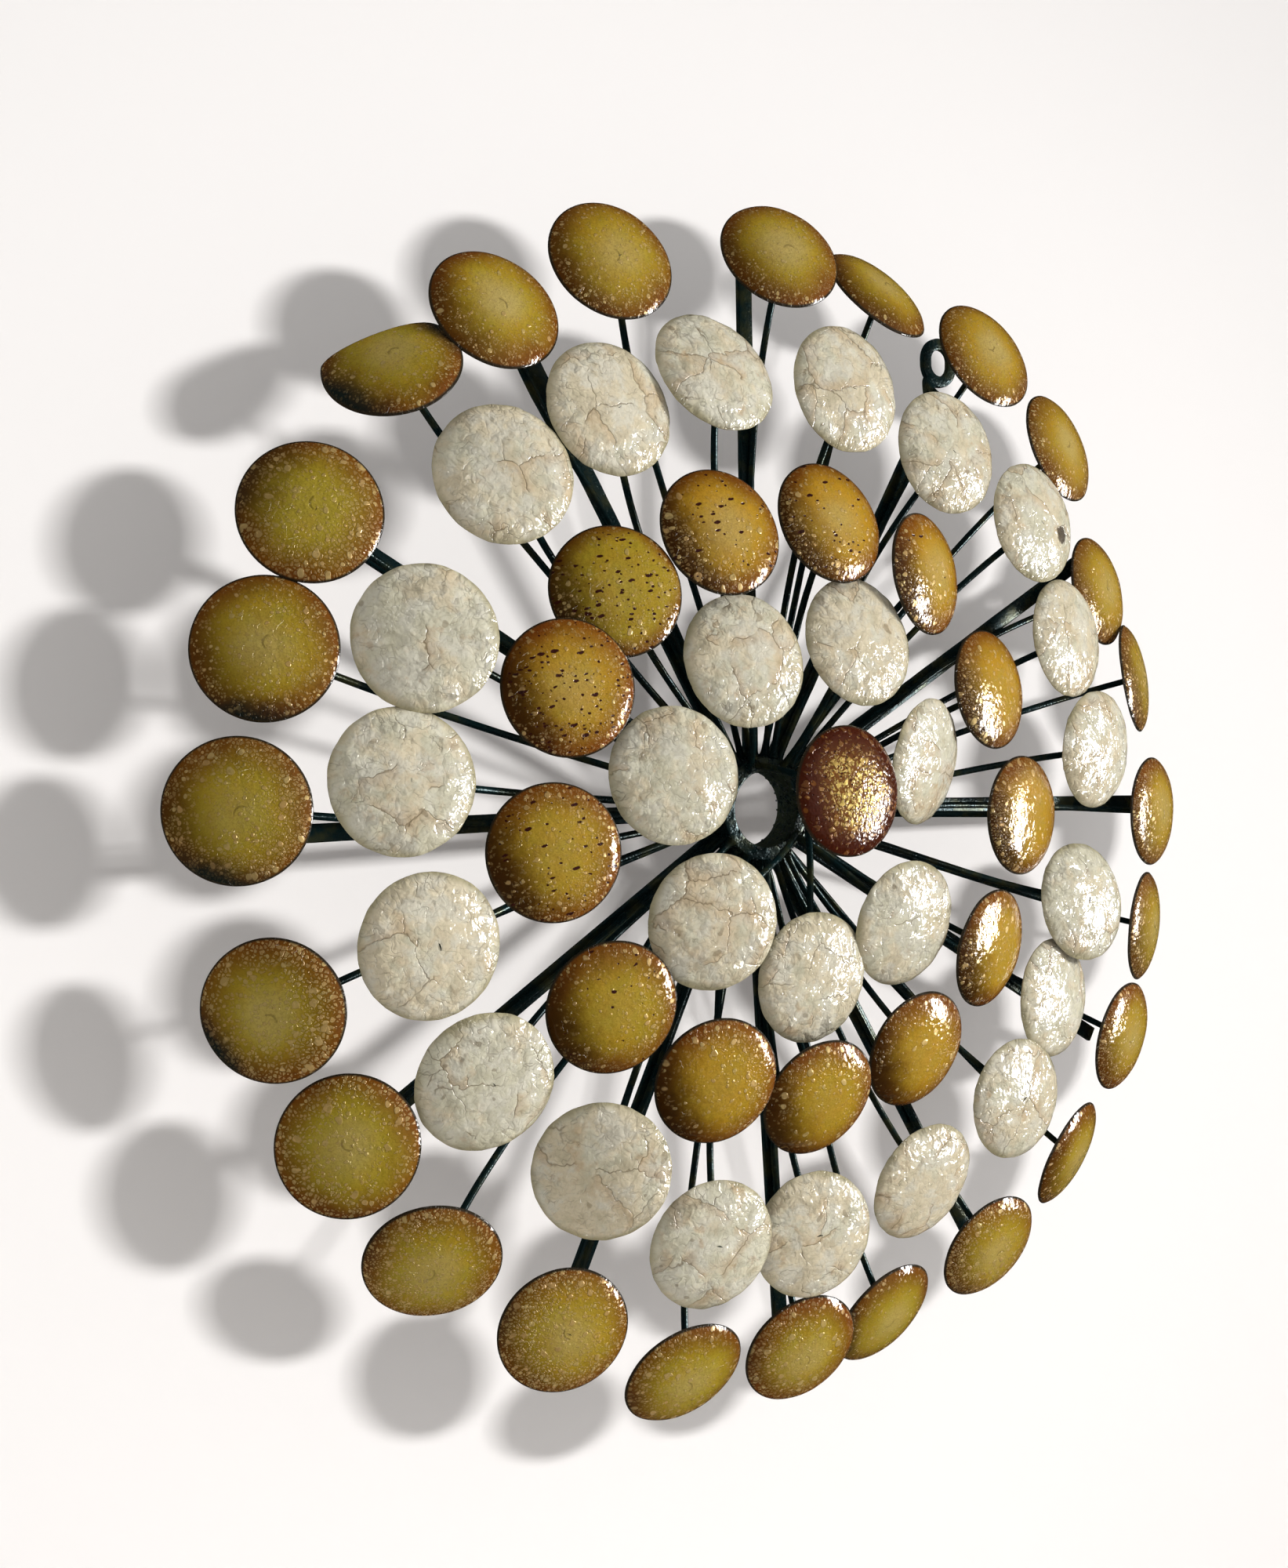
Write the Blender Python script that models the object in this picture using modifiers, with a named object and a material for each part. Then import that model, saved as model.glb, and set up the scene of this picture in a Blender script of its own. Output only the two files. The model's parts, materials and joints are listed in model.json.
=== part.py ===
"""Round wall sculpture: 64 domed metal discs on steel rods and flat bars, welded to one heavy collar.

Everything is laid out in a face frame whose origin is the centre of the collar: x to the right,
y up and z straight out from the wall. A clock angle runs clockwise from twelve o'clock. The frame
object at the end stands that layout upright against the wall, which is the plane Y = 0, and drops it
so that the two hanger eyes are level with the origin.
"""
import math

import bmesh
import bpy
from mathutils import Matrix, Vector

# Domed discs
GOLD_DIAMETER = 0.090
PEARL_DIAMETER = 0.0925
CROWN = 0.0075              # height of the disc's even, bowl-shaped dome
ROLL = 0.003                # extra height lost where the sheet rolls over at the rim
ROLL_POWER = 10             # how close to the rim that happens
DOME_HEIGHT = CROWN + ROLL
SHEET = 0.0012
DISC_SIDES = 10
DISC_TURN = 7               # degrees, so that no rod's facet lines up with one of its disc's
SHOULDER = 0.70             # where the dome's one inner ring of corners lies, as a share of its radius

# Rods, bars and collar
ROD_DIAMETER = 0.005
ROD_POINTS = 4
ROD_TILT = 0.2              # radians, so that no flat of a rod lies in the face of its bar
BAR_WIDTH = 0.012
BAR_THICKNESS = 0.0045
BAR_HEIGHT = -0.00725       # middle of the bars, from the collar's middle plane
BAR_END = 0.402             # how far from the centre the bars reach
HANGER_BAR_END = 0.372      # the two bars with eyes stop short of the eye
BITE = 0.0005               # how deep a rod's end sinks into the sheet of its disc
WELD = 0.0010               # how deep a rod sinks into the front of a bar
LIFT_OFF = 0.42             # where an arm's rod leaves its bar, as a share of the bar
GAP = 0.0004                # clearance between neighbouring solids
COLLAR_DIAMETER = 0.0755
COLLAR_BORE = 0.055
COLLAR_DEPTH = 0.025
COLLAR_SIDES = 20
COLLAR_STANDOFF = 0.027     # middle plane of the collar, from the wall

# Hanger eyes: a flat eye against the wall, with a strip that steps forward to the back of its bar
EYE_CLOCK = 30
EYE_REACH = 0.405
EYE_HOLE_WIDTH = 0.017
EYE_HOLE_HEIGHT = 0.021
EYE_BAND = 0.009
EYE_THICKNESS = 0.0045
EYE_STRIP_WIDTH = 0.012
EYE_LAP = 0.028             # how far the strip lies along the back of the bar
HANG_DROP = EYE_REACH * math.cos(math.radians(EYE_CLOCK))

# The five rings of discs. reach and height place the middle of a disc's rim, lean tips its face
# away from the middle of the sculpture, and foot_height is where its rod leaves the collar.
RINGS = {
    "outer": {"count": 24, "first": 270.5, "reach": 0.398, "height": 0.020, "lean": 21,
              "foot_height": -0.005, "diameter": GOLD_DIAMETER},
    "pearl": {"count": 19, "first": 274, "reach": 0.304, "height": 0.049, "lean": 11,
              "foot_height": 0.0032, "diameter": PEARL_DIAMETER},
    "gold": {"count": 13, "first": 262, "reach": 0.204, "height": 0.060, "lean": 16,
             "foot_height": 0.0090, "diameter": GOLD_DIAMETER},
    "inner": {"count": 7, "first": 283, "reach": 0.118, "height": 0.067, "lean": 11,
              "foot_height": 0.0115, "diameter": PEARL_DIAMETER},
    "centre": {"count": 1, "first": 25, "reach": 0.015, "height": 0.099, "lean": 4,
               "foot_height": 0.0115, "diameter": GOLD_DIAMETER},
}
BETWEEN_LEAN = 8            # the outer discs between two arms lean this much more

# The work is bent by hand, so few discs sit exactly on their ring. For a disc's number, counted
# clockwise from nine o'clock: degrees of turn about the middle, millimetres of reach and of lift,
# degrees of lean outwards and of lean to the clockwise side, and degrees of turn of the foot of its
# rod or bar about the collar.
BENDS = {
    "outer": {
        "turn": {1: 1, 2: 0.5, 3: -1.5, 4: -0.5, 5: -4, 6: -4.5, 7: 1, 11: 3, 13: 1.5, 14: 0.5,
                 15: -1, 16: -0.5, 17: -0.5, 19: -3, 20: -3.5, 21: -3, 22: -1.5, 23: -1.5, 24: -2},
        "reach": {2: -4, 4: 12, 9: 4, 10: 4, 11: -17, 12: -6, 13: -3, 15: 6, 16: 9, 17: 6, 19: -3,
                  20: 4, 21: -9, 22: -4, 23: -10, 24: -4},
        "lift": {4: -5, 5: 2, 7: 3, 8: -4, 9: 7, 10: 3, 11: -8, 12: -6, 15: 4, 16: 4, 17: 3,
                 18: -3, 19: 2, 22: -2, 23: 4},
        "lean": {1: 6, 2: -4, 4: 18, 6: -9, 7: 4, 8: 11, 10: -6, 12: 5, 16: 3, 21: -4, 22: 3,
                 24: 6},
        "side": {4: 5, 5: 10, 7: -11, 9: -8, 14: -3, 17: 9, 19: 6, 20: -3, 21: 8, 22: -4, 23: 13,
                 24: 5},
        "foot": {1: -1, 13: 1, 14: 0.5, 17: -1, 18: -2, 19: -3, 20: -3.7, 21: -4.4, 22: -3.7,
                 23: -3, 24: -2},
    },
    "pearl": {
        "turn": {1: 1, 2: -1, 3: 2, 5: -2, 7: 1, 9: -1, 10: -2, 11: 2.5, 12: -1, 13: -3.5,
                 14: -2.5, 15: -1, 16: -3.5, 17: -1.5},
        "reach": {2: 4, 3: 14, 4: 4, 5: 5, 7: -4, 8: 9, 9: -8, 10: -3, 11: -6, 12: -4, 13: 6,
                  16: 3, 17: -17, 18: -6, 19: -8},
        "lift": {6: 3, 8: 5, 11: -5, 12: -7, 14: -3, 17: 4, 18: -4},
        "lean": {2: 5, 3: 5, 5: 12, 6: -3, 7: -4, 9: 3, 11: -10, 13: -6, 14: 5, 15: -5, 17: 10,
                 18: 3, 19: -5},
        "side": {1: 4, 2: -3, 4: 5, 5: 5, 7: -3, 10: 4, 11: -9, 12: -7, 14: 4, 15: 9, 16: 5,
                 17: 18, 18: -5},
    },
    "gold": {
        "turn": {1: 2, 2: 4, 3: -3, 4: -6, 5: -6, 6: -7, 7: -4, 8: -3, 9: -1, 11: -1, 12: -3,
                 13: -2},
        "reach": {2: 6, 3: 8, 7: -7, 12: -5},
        "lift": {2: 3, 3: -4, 4: 4, 7: -3, 8: 3},
        "lean": {1: -3, 2: -3, 3: 4, 8: -3, 9: 3, 11: 4},
        "side": {1: 3, 3: -3, 6: 12, 10: 5, 11: 3, 12: 4},
    },
    "inner": {
        "turn": {2: -3, 3: -6, 4: -4, 5: 7, 6: -1, 7: -1},
        "reach": {3: 8, 4: -6, 7: -4},
        "lift": {4: -4, 6: -5, 7: 4},
        "lean": {4: 6, 6: -5},
        "side": {1: 3, 3: -3, 4: 14, 5: 6, 7: 5},
    },
    "centre": {},
}
# Inner rods that start elsewhere on the collar's face than under their disc: clock angles.
CROSSED_FEET = {"inner_disc_06": 78, "inner_disc_07": 126, "centre_disc_01": 345}

OUT = Vector((0, 0, 1))


def clear_scene():
    for item in list(bpy.data.objects):
        bpy.data.objects.remove(item)


def collection(name):
    made = bpy.data.collections.new(name)
    bpy.context.scene.collection.children.link(made)
    return made


def material(name, colour, roughness, metallic):
    made = bpy.data.materials.new(name)
    made.use_nodes = True
    shader = made.node_tree.nodes["Principled BSDF"]
    shader.inputs["Base Color"].default_value = (*colour, 1)
    shader.inputs["Roughness"].default_value = roughness
    shader.inputs["Metallic"].default_value = metallic
    made.diffuse_color = (*colour, 1)
    return made


def radial(clock):
    """Unit vector from the centre towards a clock angle."""
    return Vector((math.sin(math.radians(clock)), math.cos(math.radians(clock)), 0))


def place(clock, reach, height):
    return radial(clock) * reach + OUT * height


def evaluated(item):
    """Replaces an object by its evaluated mesh, where it stands."""
    depsgraph = bpy.context.evaluated_depsgraph_get()
    mesh = bpy.data.meshes.new_from_object(item.evaluated_get(depsgraph))
    made = bpy.data.objects.new(item.name, mesh)
    made.matrix_world = item.matrix_world.copy()
    bpy.context.scene.collection.objects.link(made)
    bpy.data.objects.remove(item)
    return made


def turned(name, profile, sides, pose):
    """A profile of (radius, height) corners, from the top down its outer side, turned about Z."""
    mesh = bpy.data.meshes.new(name)
    count = len(profile)
    closed = profile[0][0] > 0
    edges = [(i, (i + 1) % count) for i in range(count if closed else count - 1)]
    mesh.from_pydata([(radius, 0, height) for radius, height in profile], edges, [])
    item = bpy.data.objects.new(name, mesh)
    bpy.context.scene.collection.objects.link(item)
    screw = item.modifiers.new("turn", "SCREW")
    screw.steps = sides
    screw.render_steps = sides
    screw.use_merge_vertices = True
    screw.merge_threshold = 0.00001
    screw.use_smooth_shade = False
    item.matrix_world = pose
    bpy.context.view_layer.update()
    return evaluated(item)


def tube(name, points, diameter):
    """A round rod along a line of points, with closed ends, as a mesh."""
    curve = bpy.data.curves.new(name, "CURVE")
    curve.dimensions = "3D"
    curve.bevel_depth = diameter / 2
    curve.bevel_resolution = 1
    curve.use_fill_caps = True
    spline = curve.splines.new("POLY")
    spline.points.add(len(points) - 1)
    for corner, point in zip(spline.points, points):
        corner.co = (*point, 1)
        corner.tilt = ROD_TILT
    item = bpy.data.objects.new(name, curve)
    bpy.context.scene.collection.objects.link(item)
    made = evaluated(item)
    weld(made)
    return made


def weld(item):
    shape = bmesh.new()
    shape.from_mesh(item.data)
    bmesh.ops.remove_doubles(shape, verts=shape.verts, dist=0.00001)
    bmesh.ops.recalc_face_normals(shape, faces=shape.faces)
    shape.to_mesh(item.data)
    shape.free()


def box(name, size, pose):
    mesh = bpy.data.meshes.new(name)
    shape = bmesh.new()
    bmesh.ops.create_cube(shape, size=1, matrix=Matrix.Diagonal((*size, 1)))
    shape.to_mesh(mesh)
    shape.free()
    item = bpy.data.objects.new(name, mesh)
    item.matrix_world = pose
    bpy.context.scene.collection.objects.link(item)
    return item


def plate(name, outlines, thickness, pose):
    """A flat plate with the given outlines; inner ones are holes. Its middle plane is local z = 0."""
    curve = bpy.data.curves.new(name, "CURVE")
    curve.dimensions = "2D"
    curve.fill_mode = "BOTH"
    curve.extrude = thickness / 2
    for outline in outlines:
        spline = curve.splines.new("POLY")
        spline.points.add(len(outline) - 1)
        spline.use_cyclic_u = True
        for corner, point in zip(spline.points, outline):
            corner.co = (*point, 0, 1)
    item = bpy.data.objects.new(name, curve)
    item.matrix_world = pose
    bpy.context.scene.collection.objects.link(item)
    bpy.context.view_layer.update()
    made = evaluated(item)
    weld(made)
    return made


def tidy(item):
    """Cuts the faces that a union leaves into triangles and drops those with no area."""
    shape = bmesh.new()
    shape.from_mesh(item.data)
    bmesh.ops.triangulate(shape, faces=shape.faces)
    bmesh.ops.dissolve_degenerate(shape, dist=0.00001, edges=shape.edges)
    shape.to_mesh(item.data)
    shape.free()


def union(name, pieces):
    """One solid from several that overlap."""
    whole = pieces[0]
    for piece in pieces[1:]:
        join = whole.modifiers.new("join", "BOOLEAN")
        join.operation = "UNION"
        join.solver = "EXACT"
        join.object = piece
    bpy.context.view_layer.update()
    made = evaluated(whole)
    for piece in pieces[1:]:
        bpy.data.objects.remove(piece)
    made.name = name
    tidy(made)
    return made


def bend(ring, number, kind):
    return BENDS[ring].get(kind, {}).get(number, 0)


def disc_place(ring, number):
    """Middle of a disc's rim, and the unit vector its face looks along."""
    layout = RINGS[ring]
    clock = layout["first"] + 360 / layout["count"] * (number - 1) + bend(ring, number, "turn")
    reach = layout["reach"] + bend(ring, number, "reach") / 1000
    height = layout["height"] + bend(ring, number, "lift") / 1000
    between = ring == "outer" and number % 2 == 0
    lean = layout["lean"] + bend(ring, number, "lean") + (BETWEEN_LEAN if between else 0)
    side = math.radians(bend(ring, number, "side"))
    outwards = radial(clock) * math.sin(math.radians(lean)) + OUT * math.cos(math.radians(lean))
    return place(clock, reach, height), outwards * math.cos(side) + radial(clock + 90) * math.sin(side)


def dome_height(share):
    """Height of the dome above its rim at a share of its radius."""
    return CROWN * (1 - share ** 2) + ROLL * (1 - share ** ROLL_POWER)


def disc(name, middle, facing, diameter):
    """A thin domed disc, hollow behind."""
    radius = diameter / 2
    shares = [0, SHOULDER, 1]
    front = [(radius * share, dome_height(share)) for share in shares]
    back = [(radius * share, dome_height(share) - SHEET) for share in reversed(shares)]
    pose = Matrix.Translation(middle) @ facing.to_track_quat("Z", "Y").to_matrix().to_4x4()
    pose = pose @ Matrix.Rotation(math.radians(DISC_TURN), 4, "Z")
    return turned(name, front + back, DISC_SIDES, pose)


def rod_end(start, middle, facing):
    """Where a rod ends, just inside the sheet behind the top of a dome, and its direction there."""
    top = middle + facing * (DOME_HEIGHT - SHEET)
    along = ((top - start).normalized() * 0.85 + facing * 0.5).normalized()
    slant = math.sqrt(1 - along.dot(facing) ** 2)
    return top + facing * (BITE - ROD_DIAMETER / 2 * slant), along


def sweep(start, leaving, end, arriving, count):
    """Evenly spaced points along a gently bowed line with given directions at both ends."""
    span = (end - start).length
    near = start + leaving * span * 0.4
    far = end - arriving * span * 0.3
    points = []
    for i in range(count):
        t = i / (count - 1)
        s = 1 - t
        points.append(start * s ** 3 + near * 3 * s * s * t + far * 3 * s * t * t + end * t ** 3)
    return points


def foot_clock(ring, number):
    """Where a rod or bar leaves the collar: nearly evenly spaced, whatever the discs do."""
    layout = RINGS[ring]
    offset = -0.5 if ring == "outer" else 0
    turn = bend(ring, number, "foot")
    return layout["first"] + offset + 360 / layout["count"] * (number - 1) + turn


def stalk(name, ring, number):
    """A disc on a rod of its own, which starts at the collar's outer wall."""
    middle, facing = disc_place(ring, number)
    clock = foot_clock(ring, number)
    start = place(clock, COLLAR_DIAMETER / 2 + GAP, RINGS[ring]["foot_height"])
    end, arriving = rod_end(start, middle, facing)
    points = sweep(start, radial(clock), end, arriving, ROD_POINTS)
    return union(name, [disc(name + "_disc", middle, facing, RINGS[ring]["diameter"]),
                        tube(name + "_rod", points, ROD_DIAMETER)])


def arm(name, number, with_eye):
    """A flat bar with a rod welded along its front, which lifts off to carry an outer disc."""
    middle, facing = disc_place("outer", number)
    clock = foot_clock("outer", number)
    first = COLLAR_DIAMETER / 2 + GAP
    last = HANGER_BAR_END if with_eye else BAR_END
    length = last - first
    pose = Matrix.Translation(place(clock, first + length / 2, BAR_HEIGHT))
    pose = pose @ Matrix.Rotation(-math.radians(clock), 4, "Z")
    bar = box(name + "_bar", (BAR_WIDTH, length, BAR_THICKNESS), pose)
    rod_height = BAR_HEIGHT + BAR_THICKNESS / 2 + ROD_DIAMETER / 2 - WELD
    start = place(clock, first + WELD, rod_height)
    lift_off = place(clock, first + length * LIFT_OFF, rod_height)
    end, arriving = rod_end(lift_off, middle, facing)
    points = [start] + sweep(lift_off, radial(clock), end, arriving, ROD_POINTS - 1)
    return union(name, [bar, tube(name + "_rod", points, ROD_DIAMETER),
                        disc(name + "_disc", middle, facing, GOLD_DIAMETER)])


def collar():
    """The heavy ring in the middle: a short slice of thick pipe."""
    half = COLLAR_DEPTH / 2
    profile = [(COLLAR_DIAMETER / 2, half), (COLLAR_DIAMETER / 2, -half),
               (COLLAR_BORE / 2, -half), (COLLAR_BORE / 2, half)]
    return turned("collar", profile, COLLAR_SIDES, Matrix.Identity(4))


def inner_stalk(ring, number):
    """The rod and disc of an inner stalk, whose rod rises from the collar's front face."""
    name = "%s_disc_%02d" % (ring, number)
    middle, facing = disc_place(ring, number)
    clock = CROSSED_FEET.get(name, foot_clock(ring, number))
    reach = (COLLAR_DIAMETER + COLLAR_BORE) / 4
    start = place(clock, reach, RINGS[ring]["foot_height"])
    end, arriving = rod_end(start, middle, facing)
    leaving = ((end - start).normalized() + OUT * 0.35).normalized()
    points = sweep(start, leaving, end, arriving, ROD_POINTS)
    return [tube(name + "_rod", points, ROD_DIAMETER),
            disc(name, middle, facing, RINGS[ring]["diameter"])]


def hub(name):
    """The collar with the eight innermost rods and discs, which are welded to its face."""
    pieces = [collar()]
    for number in range(1, RINGS["inner"]["count"] + 1):
        pieces += inner_stalk("inner", number)
    pieces += inner_stalk("centre", 1)
    return union(name, pieces)


def oval(width, height, steps):
    """Outline of an upright slot: two half circles joined by straight sides."""
    radius = width / 2
    rise = height / 2 - radius
    points = []
    for i in range(steps):
        angle = math.pi * i / (steps - 1)
        points.append((radius * math.cos(angle), radius * math.sin(angle) + rise))
    return points + [(-x, -y) for x, y in points]


def hanger_eye(name, clock, turn):
    """A flat eye against the wall, and a strip that steps forward to lap the back of its bar."""
    wall = -COLLAR_STANDOFF
    bar_back = BAR_HEIGHT - BAR_THICKNESS / 2
    middle = place(turn * EYE_CLOCK, EYE_REACH, wall + EYE_THICKNESS / 2)
    hole = oval(EYE_HOLE_WIDTH, EYE_HOLE_HEIGHT, 8)
    rim = oval(EYE_HOLE_WIDTH + 2 * EYE_BAND, EYE_HOLE_HEIGHT + 2 * EYE_BAND, 8)
    eye = plate(name, [rim, hole], EYE_THICKNESS, Matrix.Translation(middle))
    # The strip's side view: reach from the centre across, height off the wall up.
    root = EYE_REACH - EYE_HOLE_HEIGHT / 2 - EYE_BAND
    lap_end = HANGER_BAR_END - EYE_LAP
    top = bar_back - GAP
    bottom = top - EYE_THICKNESS
    low = wall + GAP
    high = wall + EYE_THICKNESS - GAP
    side_view = [(lap_end, bottom), (HANGER_BAR_END - 0.008, bottom), (root - 0.002, low),
                 (root + 0.006, low), (root + 0.006, high), (root, high),
                 (HANGER_BAR_END - 0.006, top), (lap_end, top)]
    # The strip's plane holds the bar's direction and the way out from the wall.
    along = radial(clock)
    pose = Matrix((along, OUT, along.cross(OUT))).transposed().to_4x4()
    strip = plate(name + "_strip", [side_view], EYE_STRIP_WIDTH, pose)
    return union(name, [eye, strip])


def sculpture():
    clear_scene()
    parts = collection("metal wall sculpture")
    steel = material("dark_steel", (0.020, 0.032, 0.030), 0.38, 0.9)
    gold = material("gold_patina", (0.42, 0.24, 0.035), 0.35, 0.8)
    pearl = material("pearl_leaf", (0.72, 0.66, 0.52), 0.4, 0.3)
    made = [(hub("hub_and_inner_discs"), steel)]
    for k in range(12):
        hour = (8 + k) % 12 + 1
        made.append((arm("arm_%02d" % hour, 2 * k + 1, hour in (1, 11)), steel))
        made.append((stalk("outer_stalk_%02d" % (k + 1), "outer", 2 * k + 2), gold))
    for number in range(1, RINGS["pearl"]["count"] + 1):
        made.append((stalk("pearl_stalk_%02d" % number, "pearl", number), pearl))
    for number in range(1, RINGS["gold"]["count"] + 1):
        made.append((stalk("gold_stalk_%02d" % number, "gold", number), gold))
    made.append((hanger_eye("hanger_eye_right", 30, 1), steel))
    made.append((hanger_eye("hanger_eye_left", 330, -1), steel))

    stand = bpy.data.objects.new("face_frame", None)
    stand.location = (0, -COLLAR_STANDOFF, -HANG_DROP)
    stand.rotation_euler = (math.pi / 2, 0, 0)
    parts.objects.link(stand)
    for item, finish in made:
        for owner in list(item.users_collection):
            owner.objects.unlink(item)
        parts.objects.link(item)
        item.data.materials.clear()
        item.data.materials.append(finish)
        item.parent = stand
    bpy.context.view_layer.update()


sculpture()
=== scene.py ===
"""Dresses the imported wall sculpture: domed lacquered discs on steel rods, flat bars and a collar.

Pieces are laid out in a face frame like the solids': its origin is the middle of the collar, x
points right, y up and z straight out from the wall. Every disc, rod foot and bar is found in the
corners of its CAD node, so the dressed piece lies where the solid does.
"""
import json
import math
import random

import bmesh
import bpy
import numpy as np
from bpy.props import FloatProperty, FloatVectorProperty, IntProperty, PointerProperty
from mathutils import Matrix, Vector, noise

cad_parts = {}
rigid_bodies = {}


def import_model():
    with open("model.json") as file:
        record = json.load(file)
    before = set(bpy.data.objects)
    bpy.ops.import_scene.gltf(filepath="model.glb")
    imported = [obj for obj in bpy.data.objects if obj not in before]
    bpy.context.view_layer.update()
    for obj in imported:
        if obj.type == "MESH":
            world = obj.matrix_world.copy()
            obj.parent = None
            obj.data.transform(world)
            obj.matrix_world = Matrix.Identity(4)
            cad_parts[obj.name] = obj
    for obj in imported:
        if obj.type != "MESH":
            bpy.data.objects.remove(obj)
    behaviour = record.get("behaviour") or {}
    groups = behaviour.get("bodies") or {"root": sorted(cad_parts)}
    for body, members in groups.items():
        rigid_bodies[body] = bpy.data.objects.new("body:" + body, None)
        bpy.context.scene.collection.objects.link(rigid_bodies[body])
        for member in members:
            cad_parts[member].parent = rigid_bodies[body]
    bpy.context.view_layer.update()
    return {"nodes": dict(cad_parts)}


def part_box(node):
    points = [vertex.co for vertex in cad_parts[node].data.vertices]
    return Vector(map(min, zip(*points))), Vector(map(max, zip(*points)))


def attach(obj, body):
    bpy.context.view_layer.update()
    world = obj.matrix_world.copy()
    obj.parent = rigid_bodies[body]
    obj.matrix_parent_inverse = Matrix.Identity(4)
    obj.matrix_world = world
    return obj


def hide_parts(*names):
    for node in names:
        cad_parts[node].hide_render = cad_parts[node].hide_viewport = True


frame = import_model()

bl_info = {
    "name": "Disc wall sculpture",
    "version": (1, 0, 0),
    "blender": (4, 5, 0),
    "location": "View3D > Sidebar > Sculpture",
    "description": "Builds the discs, rods, bars, collar and hanger eyes round the packed solids",
    "category": "Object",
}

OUT = Vector((0, 0, 1))
UP = Vector((0, 1, 0))
MID_GREY = (0.5, 0.5, 0.5)
HUB_NODE = "hub_and_inner_discs"

# Sizes shared with the solids, in metres. Clock angles are degrees, clockwise from the top.
CROWN = 0.0075              # height of a disc's dome inside its rolled rim
ROLL = 0.003                # how far the rim is rolled back, and how late that starts
ROLL_POWER = 10
SHEET = 0.0012
COLLAR_OUTSIDE = 0.0755
COLLAR_BORE = 0.055
COLLAR_DEPTH = 0.025
COLLAR_CENTRE = (COLLAR_OUTSIDE + COLLAR_BORE) / 4
GAP = 0.0004                # between the collar and the foot of a rod or bar
BAR_HEIGHT = -0.00725
WELD = 0.0010               # how deep a rod sinks into its bar
LIFT_OFF = 0.42             # share of a bar's length where its rod lifts off
ROD_AIM, ROD_SQUARE = 0.85, 0.5     # shares of aiming at the disc and of meeting it square
INNER_FEET = [283 + 360 / 7 * k for k in range(5)] + [78, 126]      # clock angles
CENTRE_FOOT = 345
INNER_FOOT_HEIGHT = 0.0115
EYE_HOLE = (0.017, 0.021)
EYE_BAND = 0.009
EYE_LAP = 0.028             # how far its strip lies along the bar
EYE_REACH = 0.405
STRIP_WIDTH = 0.012

# What only the dressed pieces have
FLAT_SIDE = 118             # degrees, seen from the front: the side of the bent disc
FLAT_FROM = 0.42            # of the radius: where the bend starts
FLAT_CURVE = 0.010          # radius of the bend
FLAT_TURN = 1.15            # radians
TORN_DISC = "pearl_stalk_08"
FRONT_CROWDED = 0.9         # below 1, the rings of a disc's front lie closer to its rim
BACK_RINGS = (0.93, 0.8, 0.6, 0.4, 0.2, 0.08)       # shares of the radius
BACK_INSET = 0.0004
ROD_SHORT = 0.0016          # a rod's swollen end stops this far behind the sheet
ROD_CROWDED = 0.132         # how far a stalk's points crowd to its ends
FOOT_FILLET = (0.0016, 0.0028)      # swelling of a rod at a weld, and how far it reaches
END_FILLET = (0.0022, 0.0030)
LYING_STEPS = 16            # along the part of a rod that lies on its bar
LIFTED_POINTS = 36
BAR_STEPS = 40
COLLAR_EDGE = 0.0012        # rounding of the collar's edges
COLLAR_SEGMENTS = 160
EYE_SEGMENTS = 64
BEADS = dict(stalk=3, bar=5, lap=6, inner=7)        # weld beads at each foot or lap
SPATTER = dict(face=260, outside=120, bore=220)     # specks of weld metal on the collar

# What counts as the same when the solids are read, in metres
SAME_WIDTH = 0.00003
SAME_FACE = 0.0001
SAME_END = 0.0003
SAME_SPOT = 0.0016
FEWEST_PAIRS = 8            # of opposite corners, for a rim

# Stage
BACKDROP_GAP = 0.220        # behind the middle of the collar
BACKDROP_TURN = -9.9
SHADOWLESS = ("gold_stalk", "inner_disc_01", "inner_disc_06", "inner_disc_07")
STAGE_HALF = 4              # of the width of the wall and the floor
WALL_FOOT, WALL_TOP = -1.15, 2.5
FLOOR_FRONT, FLOOR_BACK, FLOOR_HEIGHT = -5, 4, -1.5
SHADOW_LAMP = ((-0.247, 0.140, 1.156), 0.12, 0.05)      # spot, width and height
SIDE_LAMP = ((2.10, 0.53, 1.43), 0.40, 0.50)
WINDOW = ((2.10, -0.25, 1.35), 0.54, 1.15)
BRIGHT_SIDE = Vector((0.75, -0.3, 0.75))        # where most of the even light comes from
MIRRORED_SIDE = Vector((0.50, -0.86, 0.12))     # where a paler room is mirrored in the lacquer
ROOM_DARK, ROOM_PALE, BEYOND = (0.02, 0.02, 0.02), (0.20, 0.20, 0.20), (0.93, 0.92, 0.91)
CAMERA_AIM = Vector((-0.0968, 0, 0.0199))       # from the middle of the collar
CAMERA_DISTANCE = 1.2231
CAMERA_AZIMUTH, CAMERA_ELEVATION, CAMERA_TILT = -32.03, 1.05, -0.85

# How each gold disc was lacquered. amber: 0 olive to 1 amber. red: how far the rim goes from brown
# to maroon. rim: how far that reaches inwards. pale: strength of the greyer middle, a painted sheen.
# char: strength of the blue-black smudge, partly soot and partly painted shade, on the side
# of the clock angle side, and opposite too where two_sided. burnt: strength of the
# painted shade that darkens the side at burnt_side. flakes: how thickly drops and flakes lie,
# crowded to the side drops by sided, where they are painted paler as glints. flake_size: millimetres.
# net: strength of the angular flakes. dashes: how many dark runs. nick: strength of the mark in the
# middle. flat: one side bent back.
GOLD_DEFAULTS = dict(
    amber=0.5, red=0.4, char=0.3, side=225, flakes=0.5, flake_size=2.4, dashes=0, rim=0.6,
    two_sided=0, drops=130, sided=0.35, burnt=0.55, burnt_side=245, nick=0.4, net=0.45, pale=0.55)
RING_DEFAULTS = dict(sided=0.6, burnt=0.9, nick=0, net=0.3, pale=0.12)


def outer_disc(amber, red, char, side, flakes, flake_size, **more):
    return dict(more, amber=amber, red=red, char=char, side=side, flakes=flakes,
                flake_size=flake_size)


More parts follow.
